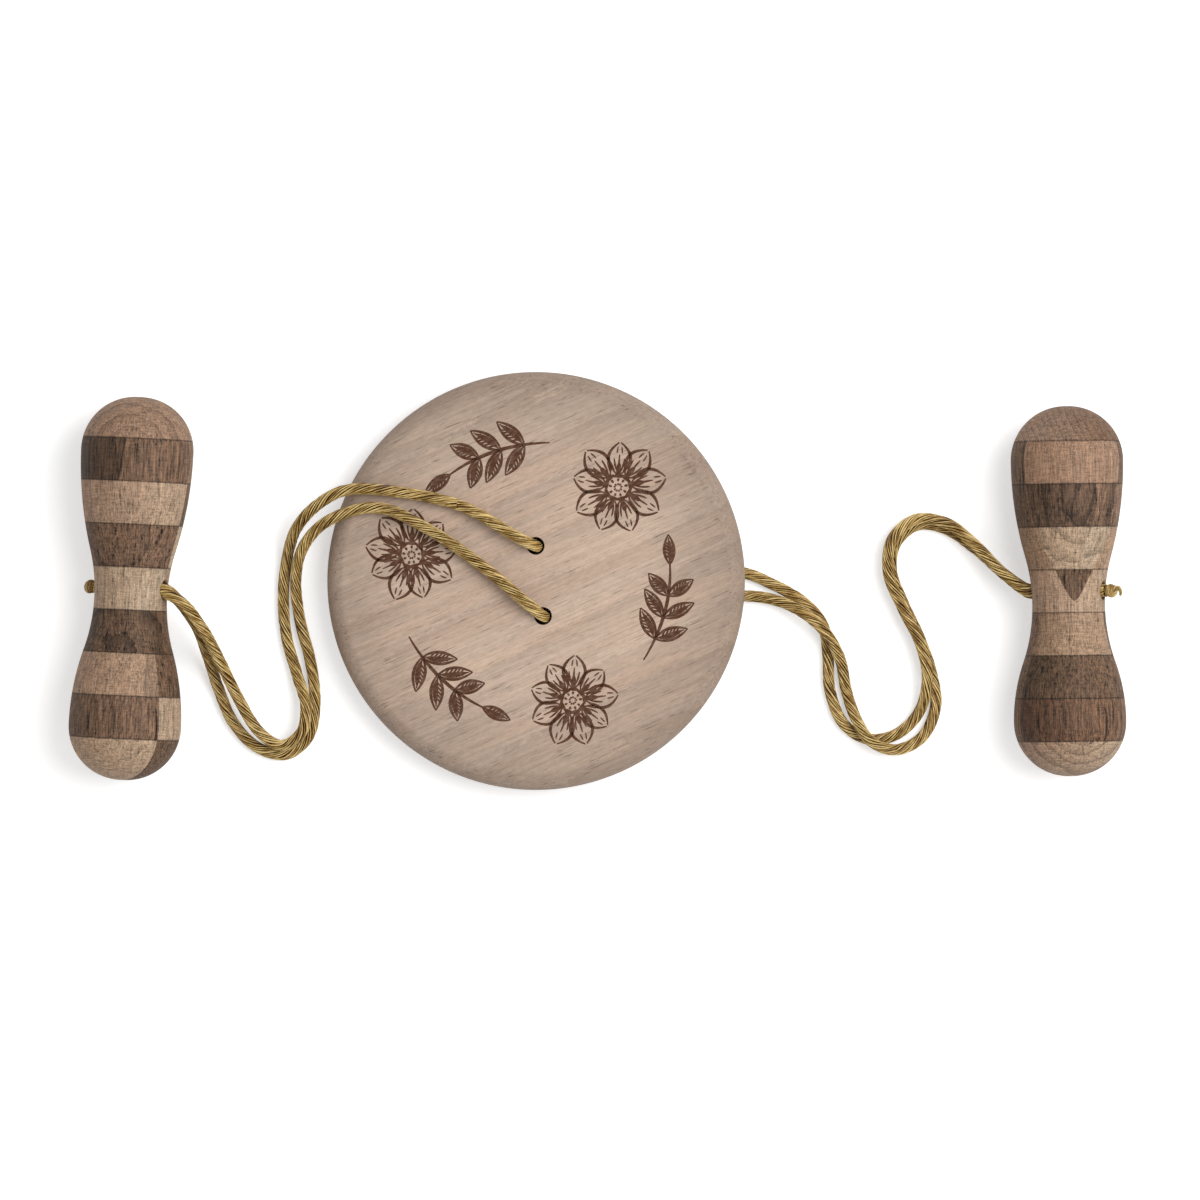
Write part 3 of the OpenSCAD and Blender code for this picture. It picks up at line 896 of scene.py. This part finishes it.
def finish_wood(tree, values, specular):
    """The shader of a sanded wood."""
    group = bpy.data.node_groups.get("Sanded wood") or wood_group()
    wood = node(tree, "ShaderNodeGroup", values, node_tree=group)
    colour, height, roughness, open_wood = (Value(tree, socket) for socket in wood.outputs)
    finish_surface(tree, {
        "Base Color": colour, "Roughness": roughness,
        "Specular IOR Level": open_wood * specular}, height, 0.35)


def block_material(name, streaks, pores, specular):
    """Wood of the handle blocks, with each block's own tones and figure read from its points."""
    handle = settings("handle")
    material, tree = material_tree(name)
    grain = attribute(tree, "grain", "Vector")
    waist = handle.waist_diameter / 2 / MM
    # Painted shade in the bore: full deep inside, fading towards the mouths
    bore_shade_depth = off_axis(tree, grain, (1, 1, 0)).ramp(waist - 1.6, waist, 1.0, 0.3)
    finish_wood(tree, {
        "Place": grain, "Left Tone": attribute(tree, "left_tone", "Color"),
        "Right Tone": attribute(tree, "right_tone", "Color"), "Zone": attribute(tree, "zone", "Vector"),
        "Rings": attribute(tree, "rings", "Color"), "Ring Gap": attribute(tree, "rings", "Alpha"),
        "Ring Stretch": attribute(tree, "stretch", "Fac"),
        "Bored": attribute(tree, "bored", "Fac") * bore_shade_depth,
        "Streaks": streaks, "Pores": pores, "Block Length": handle.block_length / MM}, specular)
    return material


def disc_material(name):
    """Pale sanded wood of the disc with long growth lines, painted light in the middle and shade at the rim.
    """
    disc = settings("disc")
    material, tree = material_tree(name)
    grain = attribute(tree, "grain", "Vector")
    off_middle = off_axis(tree, grain, (1, 0, 1))
    face = (disc.diameter / 2 - disc.edge_radius) / MM
    # Painted light and shade: lighter in the middle, darker towards the rim and darker still over the rounded
    # edge
    light = off_middle.ramp(24.0, 47.0, 1.12, 0.83) * off_middle.ramp(face - 0.4, face + 0.8, 1.0, 0.9)
    finish_wood(tree, {
        "Place": vector_math(tree, "MULTIPLY", grain, (0.7, 0.7, 0.3)),
        # Painted shade on the walls and eased rims of the cord holes
        "Bored": attribute(tree, "bored", "Fac"),
        "Left Tone": scaled(tree, disc.deep, light), "Right Tone": scaled(tree, disc.pale, light),
        "Spread": 0.0, "Mottle": 1.0, "Zone": (-900, 0, 0), "Rings": (-140, 20, 0.12), "Ring Gap": 7.0,
        "Ring Stretch": 0.5, "Streaks": 0.2, "Fine": 2.8, "Veins": 0.1, "Cross": 0.0, "Speckle": 0.6,
        "Pores": 0.5, "Pore Width": 4.4, "Pore Pitch": 0.5, "Pore Share": 0.625, "Glue": 0.0}, 0.25)
    return material


def cord_material(name):
    """Twisted cotton: painted shade in the grooves, each yarn of its own tone, with fine fibres along them.
    """
    cord = settings("cord")
    material, tree = material_tree(name)
    crest = attribute(tree, "crest", "Fac")
    shade = attribute(tree, "tone", "Fac")
    fibre = scaled_noise(tree, attribute(tree, "lay", "Vector"), (3.2, 3.2, 0.26), 3, 0.7)
    # Painted shade: darkest in the grooves between the yarns, through the side tone, up to the yarn tone on
    # the crests
    gap = crest.ramp(0.35, 0.85, 1.0, 0.0)
    lift = ((fibre - 0.5) * 3.8 + 0.64 + (shade - 0.5) * 0.5 - gap * 0.95).clamped()
    low = mix(tree, lift.ramp(0.0, 0.5), (*cord.hollow, 1), (*cord.flank, 1))
    finish_surface(tree, {
        "Base Color": mix(tree, lift.ramp(0.5, 1.0), low, (*cord.crest, 1)), "Roughness": 0.48,
        "Specular IOR Level": crest.ramp(0.45, 0.95, 0.0, 0.55)}, fibre + crest, 0.8)
    return material


def burnt_material(name):
    """Lines burnt into the wood, uneven in depth."""
    disc = settings("disc")
    material, tree = material_tree(name)
    uneven = scaled_noise(tree, attribute(tree, "grain", "Vector"), (1.6, 1.6, 0.7), 4).ramp(0.38, 0.72)
    colour = mix(tree, uneven * 0.2, (*disc.burnt, 1), (*disc.deep, 1))
    finish_surface(tree, {"Base Color": colour, "Roughness": 0.9, "Specular IOR Level": 0.1})
    return material


def floor_material(name):
    """A pale floor that the camera sees as white, apart from shadows and what lies under the disc."""
    material, tree = material_tree(name)
    middle = Vector(JOINTS["disc_spin"]["pos_m"])
    place = output(tree, "ShaderNodeNewGeometry", key="Position")
    off_disc = vector_math(tree, "DISTANCE", place, (middle.x, middle.y, 0), key="Value")
    seen = output(tree, "ShaderNodeLightPath", key="Is Camera Ray") * off_disc.ramp(0.025, 0.035)
    matte = output(tree, "ShaderNodeBsdfDiffuse", {"Color": (*settings("stage").floor, 1)})
    glow = output(tree, "ShaderNodeEmission", {"Strength": seen * 0.42})
    both = output(tree, "ShaderNodeAddShader", {0: matte, 1: glow})
    node(tree, "ShaderNodeOutputMaterial", {"Surface": both})
    return material


# Burnt flowers and sprigs, drawn in millimetres

def ribbon(bm, points, width, lift=0.0):
    """A flat drawn line through points in the plane, thinner towards its ends."""
    last = len(points) - 1
    pairs = []
    for i, (point, ahead) in enumerate(zip(points, ways_along(points))):
        half = width / 2 * (0.35 + 0.65 * math.sin(math.pi * (i + 0.35) / (last + 0.7)))
        square = Vector((-ahead.y, ahead.x)) * half
        pairs.append([bm.verts.new((point.x + s * square.x, point.y + s * square.y, lift)) for s in (1, -1)])
    for (a, b), (c, d) in zip(pairs, pairs[1:]):
        bm.faces.new((a, b, d, c))


def bow(start, bend, end, steps=10):
    """Points on a bowed line from start to end that leans towards bend."""
    start, bend, end = Vector(start), Vector(bend), Vector(end)
    share = [i / steps for i in range(steps + 1)]
    return [start.lerp(bend, t).lerp(bend.lerp(end, t), t) for t in share]


def leaf(bm, base, direction, long, wide, line):
    """A drawn leaf: two bowed edges, a rib, short veins and a shaded half."""
    side = Vector((-direction.y, direction.x))

    def spot(along, across, root=base):
        """A place in the leaf, along and across it."""
        return root + direction * along + side * across

    for s in (1, -1):
        ribbon(bm, bow(base, spot(long * 0.45, s * wide), spot(long, 0)), line)
        for n in range(5):
            share = 0.2 + 0.11 * n
            root = spot(long * share, 0)
            reach = wide * (0.52 if s > 0 else 0.34) * (1 - 1.3 * abs(share - 0.4))
            vein = bow(root, spot(reach * 0.6, s * reach * 0.5, root), spot(reach * 1.1, s * reach, root), 4)
            ribbon(bm, vein, line * 0.62, 0.004)
    ribbon(bm, bow(base, spot(long * 0.5, wide * 0.05), spot(long * 0.9, 0)), line * 0.8, 0.008)
    shaded = bow(spot(long * 0.12, 0), spot(long * 0.42, wide * -0.36), spot(long * 0.82, 0))
    ribbon(bm, shaded, wide * 0.34, 0.002)


def sprig_mesh():
    """One sprig: a bowed stem with pairs of leaves, along y about its own middle."""
    bm = bmesh.new()
    line = 0.7
    stem = bow((-10.5, 0), (0, -3.4), (9.5, -0.2), 14)
    ribbon(bm, stem, line)
    for step, long in ((3, 6.6), (6, 6.6), (9, 5.8)):
        for s in (1, -1):
            heading = (stem[step + 1] - stem[step]).normalized()
            heading.rotate(Matrix.Rotation(0.85 * s, 2))
            leaf(bm, stem[step], heading, long, 2.2, line * 0.85)
    ahead = (stem[-1] - stem[-2]).normalized()
    leaf(bm, stem[-1] - ahead, ahead, 5.8, 1.9, line * 0.85)
    mesh = bm_mesh(bm, "sprig")
    mesh.transform(Matrix.Rotation(math.pi / 2, 4, "Z") @ Matrix.Scale(1.22 * MM, 4))
    return mesh


def petal_mesh():
    """One petal of a flower, from the flower's middle outwards along x."""
    bm = bmesh.new()
    line = 0.74
    strokes = [(stroke, s) for s in (1, -1) for stroke in PETAL_SIDES]
    strokes += [(stroke, 1) for stroke in PETAL_MIDDLE]
    for (*places, steps, share, lift), s in strokes:
        ribbon(bm, bow(*[(x, y * s) for x, y in places], steps), line * share, lift)
    mesh = bm_mesh(bm, "petal")
    mesh.transform(Matrix.Scale(MM, 4))
    return mesh


def round_tree():
    """Geometry nodes that repeat a flat shape round the z axis, facing outwards, with a little unevenness."""
    tree = bpy.data.node_groups.new("Repeat round", "GeometryNodeTree")
    given = sockets(
        tree,
        (("Geometry", "Geometry", None), ("Count", "Int", 3), ("Radius", "Float", 0.0),
         ("Turn", "Float", 0.0), ("Unevenness", "Float", 0.0), ("Seed", "Int", 1),
         ("Material", "Material", None)),
        (("Geometry", "Geometry"),))
    index = output(tree, "GeometryNodeInputIndex")
    angle = index / given["Count"] * (2 * math.pi) + given["Turn"]
    spot = combined(tree, X=angle.math("COSINE") * given["Radius"], Y=angle.math("SINE") * given["Radius"])
    points = output(tree, "GeometryNodePoints", {"Count": given["Count"], "Position": spot})
    limits = {2: -1.0, 3: 1.0, "Seed": given["Seed"], "ID": index}
    uneven = output(tree, "FunctionNodeRandomValue", limits, 1, data_type="FLOAT") * given["Unevenness"]
    copies = output(tree, "GeometryNodeInstanceOnPoints", {
        "Points": points, "Instance": given["Geometry"], "Rotation": combined(tree, Z=angle + uneven),
        "Scale": uneven + 1.0})
    real = output(tree, "GeometryNodeRealizeInstances", {0: copies})
    painted = output(tree, "GeometryNodeSetMaterial", {"Geometry": real, "Material": given["Material"]})
    node(tree, "NodeGroupOutput", {"Geometry": painted})
    return tree


def repeated(mesh, tree, material, **values):
    """A mesh repeated round the z axis by the geometry nodes, as a plain mesh."""
    made = add_object(mesh.name, mesh)
    modifier = made.modifiers.new("Repeat round", "NODES")
    modifier.node_group = tree
    names = {item.name: item.identifier for item in tree.interface.items_tree if item.in_out == "INPUT"}
    for key, value in values.items():
        modifier[names[key]] = value
    modifier[names["Material"]] = material
    return take_mesh(made)


def write_disc_grain(mesh):
    """Keeps each point's place in the disc's wood, in millimetres, with the grain along the third axis."""
    rise = settings("disc").grain_turn
    along = Vector((math.cos(rise), math.sin(rise), 0))
    across = Vector((-math.sin(rise), math.cos(rise), 0))
    grain = [(v.co.dot(across) / MM, v.co.z / MM, v.co.dot(along) / MM) for v in mesh.vertices]
    point_attribute(mesh, "grain", "FLOAT_VECTOR", grain)


# Operators

class SPINNER_OT_stage(Operator):
    """Sets the camera straight above, a soft lamp, light from all round and a pale floor."""

    bl_idname = "spinner.stage"
    bl_label = "Stage"

    def execute(self, context):
        stage = settings("stage")
        scene = context.scene
        scene.view_settings.view_transform = "Standard"
        camera_data = bpy.data.cameras.new("camera")
        camera_data.lens = stage.lens
        camera_data.sensor_width = SENSOR_WIDTH
        scene.camera = add_object("camera", camera_data)
        height = VIEW_LEVEL + stage.view_width * stage.lens / SENSOR_WIDTH
        scene.camera.location = (stage.view_x, stage.view_y, height)

        lamp_data = bpy.data.lights.new("soft_lamp", "AREA")
        lamp_data.shape = "DISK"
        lamp_data.size = LAMP_SIZE
        lamp_data.energy = stage.key_power
        lamp = add_object("soft_lamp", lamp_data)
        lamp.location = LAMP_PLACE
        lamp.rotation_euler = Vector(LAMP_PLACE).to_track_quat("Z", "Y").to_euler()

        world = bpy.data.worlds.new("light_all_round")
        world.use_nodes = True
        background = world.node_tree.nodes["Background"]
        background.inputs["Color"].default_value = (1, 1, 1, 1)
        background.inputs["Strength"].default_value = stage.fill
        scene.world = world

        corners = [(x * FLOOR_HALF, y * FLOOR_HALF, 0) for x, y in ((-1, -1), (1, -1), (1, 1), (-1, 1))]
        floor_mesh = bpy.data.meshes.new("floor")
        floor_mesh.from_pydata(corners, [], [(0, 1, 2, 3)])
        floor = add_piece("floor", floor_mesh, find_material("pale_floor", floor_material))
        return {"FINISHED"}


class SPINNER_OT_cords(Operator):
    """Lays the four strands of twisted cord and threads them through the handles."""

    bl_idname = "spinner.cords"
    bl_label = "Cords"

    def execute(self, context):
        material = find_material("twisted_cord", cord_material)
        for side in SIDES:
            for strand in STRANDS:
                strand_pieces(side, strand, material)
                self.bore_piece(side, strand, material)
        return {"FINISHED"}

    def bore_piece(self, side, strand, material):
        """The stretch of a strand that is squeezed flat in the bore of a handle."""
        cord = settings("cord")
        bore = bore_frame(side)
        to_disc = 1 if side == "left" else -1
        up = BORE_APART * cord.diameter * (1 if strand == "a" else -1)
        reach = bore_reach(side)
        ends = (reach - cord.diameter * 0.8, 0, -reach - 0.4 * MM)
        line = [bore @ Vector((0, up, to_disc * z)) for z in ends]
        name = f"{side}_bore_strand_{strand}"
        flat = (bore.col[1].to_3d(), BORE_FLAT)
        mesh = rope_mesh(f"{name}_rope", even_points(line, cord.ring_step), flat=flat)
        piece = add_piece(f"{name}_rope", mesh, material)
        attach(piece, f"{side}_cord_end")
        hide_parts(name)


class SPINNER_OT_knots(Operator):
    """Ties a stopper knot outside each handle."""

    bl_idname = "spinner.knots"
    bl_label = "Knots"

    def execute(self, context):
        material = find_material("twisted_cord", cord_material)
        for side in SIDES:
            self.knot(side, material)
        return {"FINISHED"}

    def knot(self, side, material):
        """A wound knot: close turns of cord round the bore's axis, taller than wide, with a thinned tail."""
        cord = settings("cord")
        bore = bore_frame(side)
        seat = bore_reach(side) + 0.2 * MM
        outward = -1 if side == "left" else 1
        thick = cord.diameter / 2 * KNOT_WIDTH
        turns, first_turn, steps = 2.2, 0.6, 120
        long, core, swell, squash = 3 * MM, 0.6 * MM, 0.9 * MM, 0.5
        line = []
        for i in range(steps + 1):
            share = i / steps
            angle = 2 * math.pi * turns * share + first_turn
            radius = core + swell * math.sin(math.pi * clamp(share, 0.06, 0.94))
            along = seat + thick + (long - 2 * thick) * share
            line.append((squash * radius * math.cos(angle), radius * math.sin(angle), along))
        line += [(level, up, seat + long + out) for level, up, out in metres(TAILS[side])]
        points = [bore @ Vector((x, y, outward * z)) for x, y, z in line]
        points = even_points(points, cord.ring_step * 0.6)
        mesh = rope_mesh(f"{side}_knot_rope", points, width=KNOT_WIDTH, tip=(0.72, 0.3))
        piece = add_piece(f"{side}_knot_rope", mesh, material)
        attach(piece, f"{side}_cord_end")
        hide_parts(f"{side}_knot")


class SPINNER_OT_disc(Operator):
    """Turns the disc and drills its two holes."""

    bl_idname = "spinner.disc"
    bl_label = "Disc"

    def execute(self, context):
        disc = settings("disc")
        radius, half, edge = disc.diameter / 2, disc.thickness / 2, disc.edge_radius
        rim = radius - edge
        step = 0.2 * MM
        flat = [rim * share for share in (0.2, 0.4, 0.6, 0.8)]
        profile = [(0, -half)] + [(r, -half) for r in flat]
        profile += arc((rim, edge - half), edge, -90, 0, step) + arc((rim, half - edge), edge, 0, 90, step)
        profile += [(r, half) for r in reversed(flat)] + [(0, half)]
        inverse = disc_frame().inverted()
        holes = [Matrix.Translation(inverse @ hole_end(strand, 0)) for strand in STRANDS]
        drill = drill_profile(disc.hole_diameter / 2, half, disc.hole_ease)
        mesh = drilled(bm_mesh(lathe(profile, DISC_SIDES), "turned_disc"), drill, holes)
        smooth_with_edges(mesh)
        write_disc_grain(mesh)
        mark_bores(mesh, holes, disc.hole_diameter / 2 + disc.hole_ease * 1.1)
        mesh.transform(disc_frame())
        piece = add_piece("turned_disc", mesh, find_material("sanded_disc", disc_material))
        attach(piece, "disc")
        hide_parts("disc")
        return {"FINISHED"}


class SPINNER_OT_sprigs(Operator):
    """Burns a ring of flowers and leafy sprigs into the disc's top."""

    bl_idname = "spinner.sprigs"
    bl_label = "Burnt sprigs"

    def execute(self, context):
        disc = settings("disc")
        tree = round_tree()
        material = find_material("burnt_line", burnt_material)
        flower = repeated(petal_mesh(), tree, material, Count=9, Unevenness=0.05, Seed=4)
        flower.name = "flower"
        for name, motif, degrees in (("burnt_flowers", flower, 48), ("burnt_sprigs", sprig_mesh(), 108)):
            ring = repeated(motif, tree, material, Count=3, Radius=disc.sprig_ring,
                            Turn=math.radians(degrees), Unevenness=0.04, Seed=7)
            holder = add_object(name, ring)
            depth = holder.modifiers.new("depth", "SOLIDIFY")
            depth.thickness = 0.1 * MM
            depth.offset = -1
            mesh = take_mesh(holder)
            mesh.transform(Matrix.Translation((0, 0, disc.thickness / 2 + 0.02 * MM)))
            write_disc_grain(mesh)
            mesh.transform(disc_frame())
            piece = add_piece(name, mesh, material)
            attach(piece, "disc")
        return {"FINISHED"}


class SPINNER_OT_handles(Operator):
    """Turns both handles and saws each into its glued blocks."""

    bl_idname = "spinner.handles"
    bl_label = "Handles"

    def execute(self, context):
        handle = settings("handle")
        for side in SIDES:
            long, end, low = (getattr(handle, f"{side}_{key}") for key in ("length", "end", "low"))
            turned = lathe(self.profile(long, end, low), HANDLE_SIDES)
            for row in ("front", "back"):
                for number in range(1, handle.blocks + 1):
                    self.block(turned, side, row, number)
            turned.free()
        return {"FINISHED"}

    def profile(self, long, end, low):
        """The outline of a handle, whose waist lies a little below the middle."""
        top = [(r, low - z) for r, z in self.half_profile(long / 2 + low, end)]
        bottom = [(r, low + z) for r, z in self.half_profile(long / 2 - low, end)]
        return list(reversed(top[1:])) + bottom

    def half_profile(self, long, end):
        """One end of a handle from its waist on: hollow, bulb and rounded end."""
        handle = settings("handle")
        grip, waist = handle.grip_diameter / 2, handle.waist_diameter / 2
        bulb_z = long - end
        rise = grip - waist
        both = (rise ** 2 + bulb_z ** 2) / (2 * rise)
        bulb = both - handle.waist_curve
        meet = math.degrees(math.asin(bulb_z / both))
        step = 0.4 * MM
        half = arc((waist + handle.waist_curve, 0), handle.waist_curve, 180, 180 - meet, step)
        half += arc((grip - bulb, bulb_z), bulb, -meet, 0, step)[1:]
        half += arc((grip - end, bulb_z), end, 0, 90, step)[1:] + [(0, long)]
        return half

    def seam(self, side, number):
        """A point on a handle's long seam and its normal, towards the far row, in the handle's frame."""
        last_upper, upper, lower = SEAMS[side]
        degrees, off, slant = upper if number <= last_upper else lower
        heading = math.radians(degrees)
        outward = Vector((math.cos(heading), math.sin(heading), 0))
        normal = Vector((outward.x, outward.y, -slant)).normalized()
        return outward * (off * MM), normal

    def block(self, turned, side, row, number):
        """One block: the slice of the turned handle between two joints, on one side of the seam."""
        handle = settings("handle")
        name = f"{side}_{row}_block_{number}"
        bm = turned.copy()
        level = (number - handle.blocks / 2) * handle.block_length
        if number > 1:
            cut(bm, Vector((0, 0, level - handle.block_length)), Vector((0, 0, -1)))
        if number < handle.blocks:
            cut(bm, Vector((0, 0, level)), Vector((0, 0, 1)))
        point, normal = self.seam(side, number)
        is_near = (side, row) in (("left", "front"), ("right", "back"))
        cut(bm, point, normal if is_near else -normal)
        mesh = bm_mesh(bm, f"{name}_wood")
        if number == handle.blocks // 2 + 1:
            mesh = self.bored(mesh, side)
        smooth_with_edges(mesh, 15)
        look = BLOCK_LOOKS[f"{side}_{row}"][number - 1]
        self.write_look(mesh, number, *look)
        mesh.transform(handle_frame(side))
        is_dark = TONES[look[0]][0] + TONES[look[1]][0] < 2 * DARK_LIMIT
        kind = "dark" if is_dark else "pale"
        material = find_material(f"{kind}_block_wood", block_material, *BLOCK_WOODS[kind])
        piece = add_piece(f"{name}_wood", mesh, material)
        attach(piece, f"{side}_handle")
        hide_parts(name)

    def bored(self, mesh, side):
        """The waist block with the cross bore through it, and the walls of the bore marked."""
        handle = settings("handle")
        place = handle_frame(side).inverted() @ bore_frame(side)
        drill = drill_profile(handle.bore_diameter / 2, bore_reach(side), handle.bore_ease)
        mesh = drilled(mesh, drill, [place])
        mark_bores(mesh, [place], handle.bore_diameter / 2 + handle.bore_ease * 1.1)
        return mesh

    def write_look(self, mesh, number, left, right, zone, rings):
        """Keeps the block's tones and figure, and each point's place in the wood, on the points."""
        handle = settings("handle")
        middle = (number - (handle.blocks + 1) / 2) * handle.block_length / MM
        zone = (zone[0] - zone[1] * middle, zone[1], zone[2])
        stretch = rings[4] if len(rings) > 4 else 1.0
        point_attribute(mesh, "grain", "FLOAT_VECTOR", [v.co / MM for v in mesh.vertices])
        for name, kind, value in (
                ("left_tone", "FLOAT_COLOR", (*TONES[left], 1)),
                ("right_tone", "FLOAT_COLOR", (*TONES[right], 1)),
                ("zone", "FLOAT_VECTOR", zone),
                ("rings", "FLOAT_COLOR", rings[:4]),
                ("stretch", "FLOAT", (stretch,))):
            point_attribute(mesh, name, kind, [value] * len(mesh.vertices))


class SPINNER_PT_panel(Panel):
    """Lists the pieces of the spinner in the sidebar."""

    bl_idname = "SPINNER_PT_panel"
    bl_label = "Buzz Spinner"
    bl_space_type = "VIEW_3D"
    bl_region_type = "UI"
    bl_category = "Buzz Spinner"

    def draw(self, context):
        for operator in OPERATORS:
            self.layout.operator(operator.bl_idname)
        for name, group in GROUPS.items():
            box = self.layout.box()
            box.label(text=name.capitalize())
            for key in group.__annotations__:
                box.prop(settings(name), key)


GROUPS = {"disc": SpinnerDisc, "handle": SpinnerHandle, "cord": SpinnerCord, "stage": SpinnerStage}
OPERATORS = (SPINNER_OT_stage, SPINNER_OT_cords, SPINNER_OT_knots, SPINNER_OT_disc, SPINNER_OT_sprigs,
             SPINNER_OT_handles)


def register():
    for made in (*GROUPS.values(), *OPERATORS, SPINNER_PT_panel):
        bpy.utils.register_class(made)
    for name, group in GROUPS.items():
        setattr(bpy.types.Scene, f"spinner_{name}", PointerProperty(type=group))


def unregister():
    for name in GROUPS:
        delattr(bpy.types.Scene, f"spinner_{name}")
    for made in reversed((*GROUPS.values(), *OPERATORS, SPINNER_PT_panel)):
        bpy.utils.unregister_class(made)


def main():
    register()
    bpy.ops.spinner.stage()
    bpy.ops.spinner.cords()
    bpy.ops.spinner.knots()
    bpy.ops.spinner.disc()
    bpy.ops.spinner.sprigs()
    bpy.ops.spinner.handles()


if __name__ == "__main__":
    main()
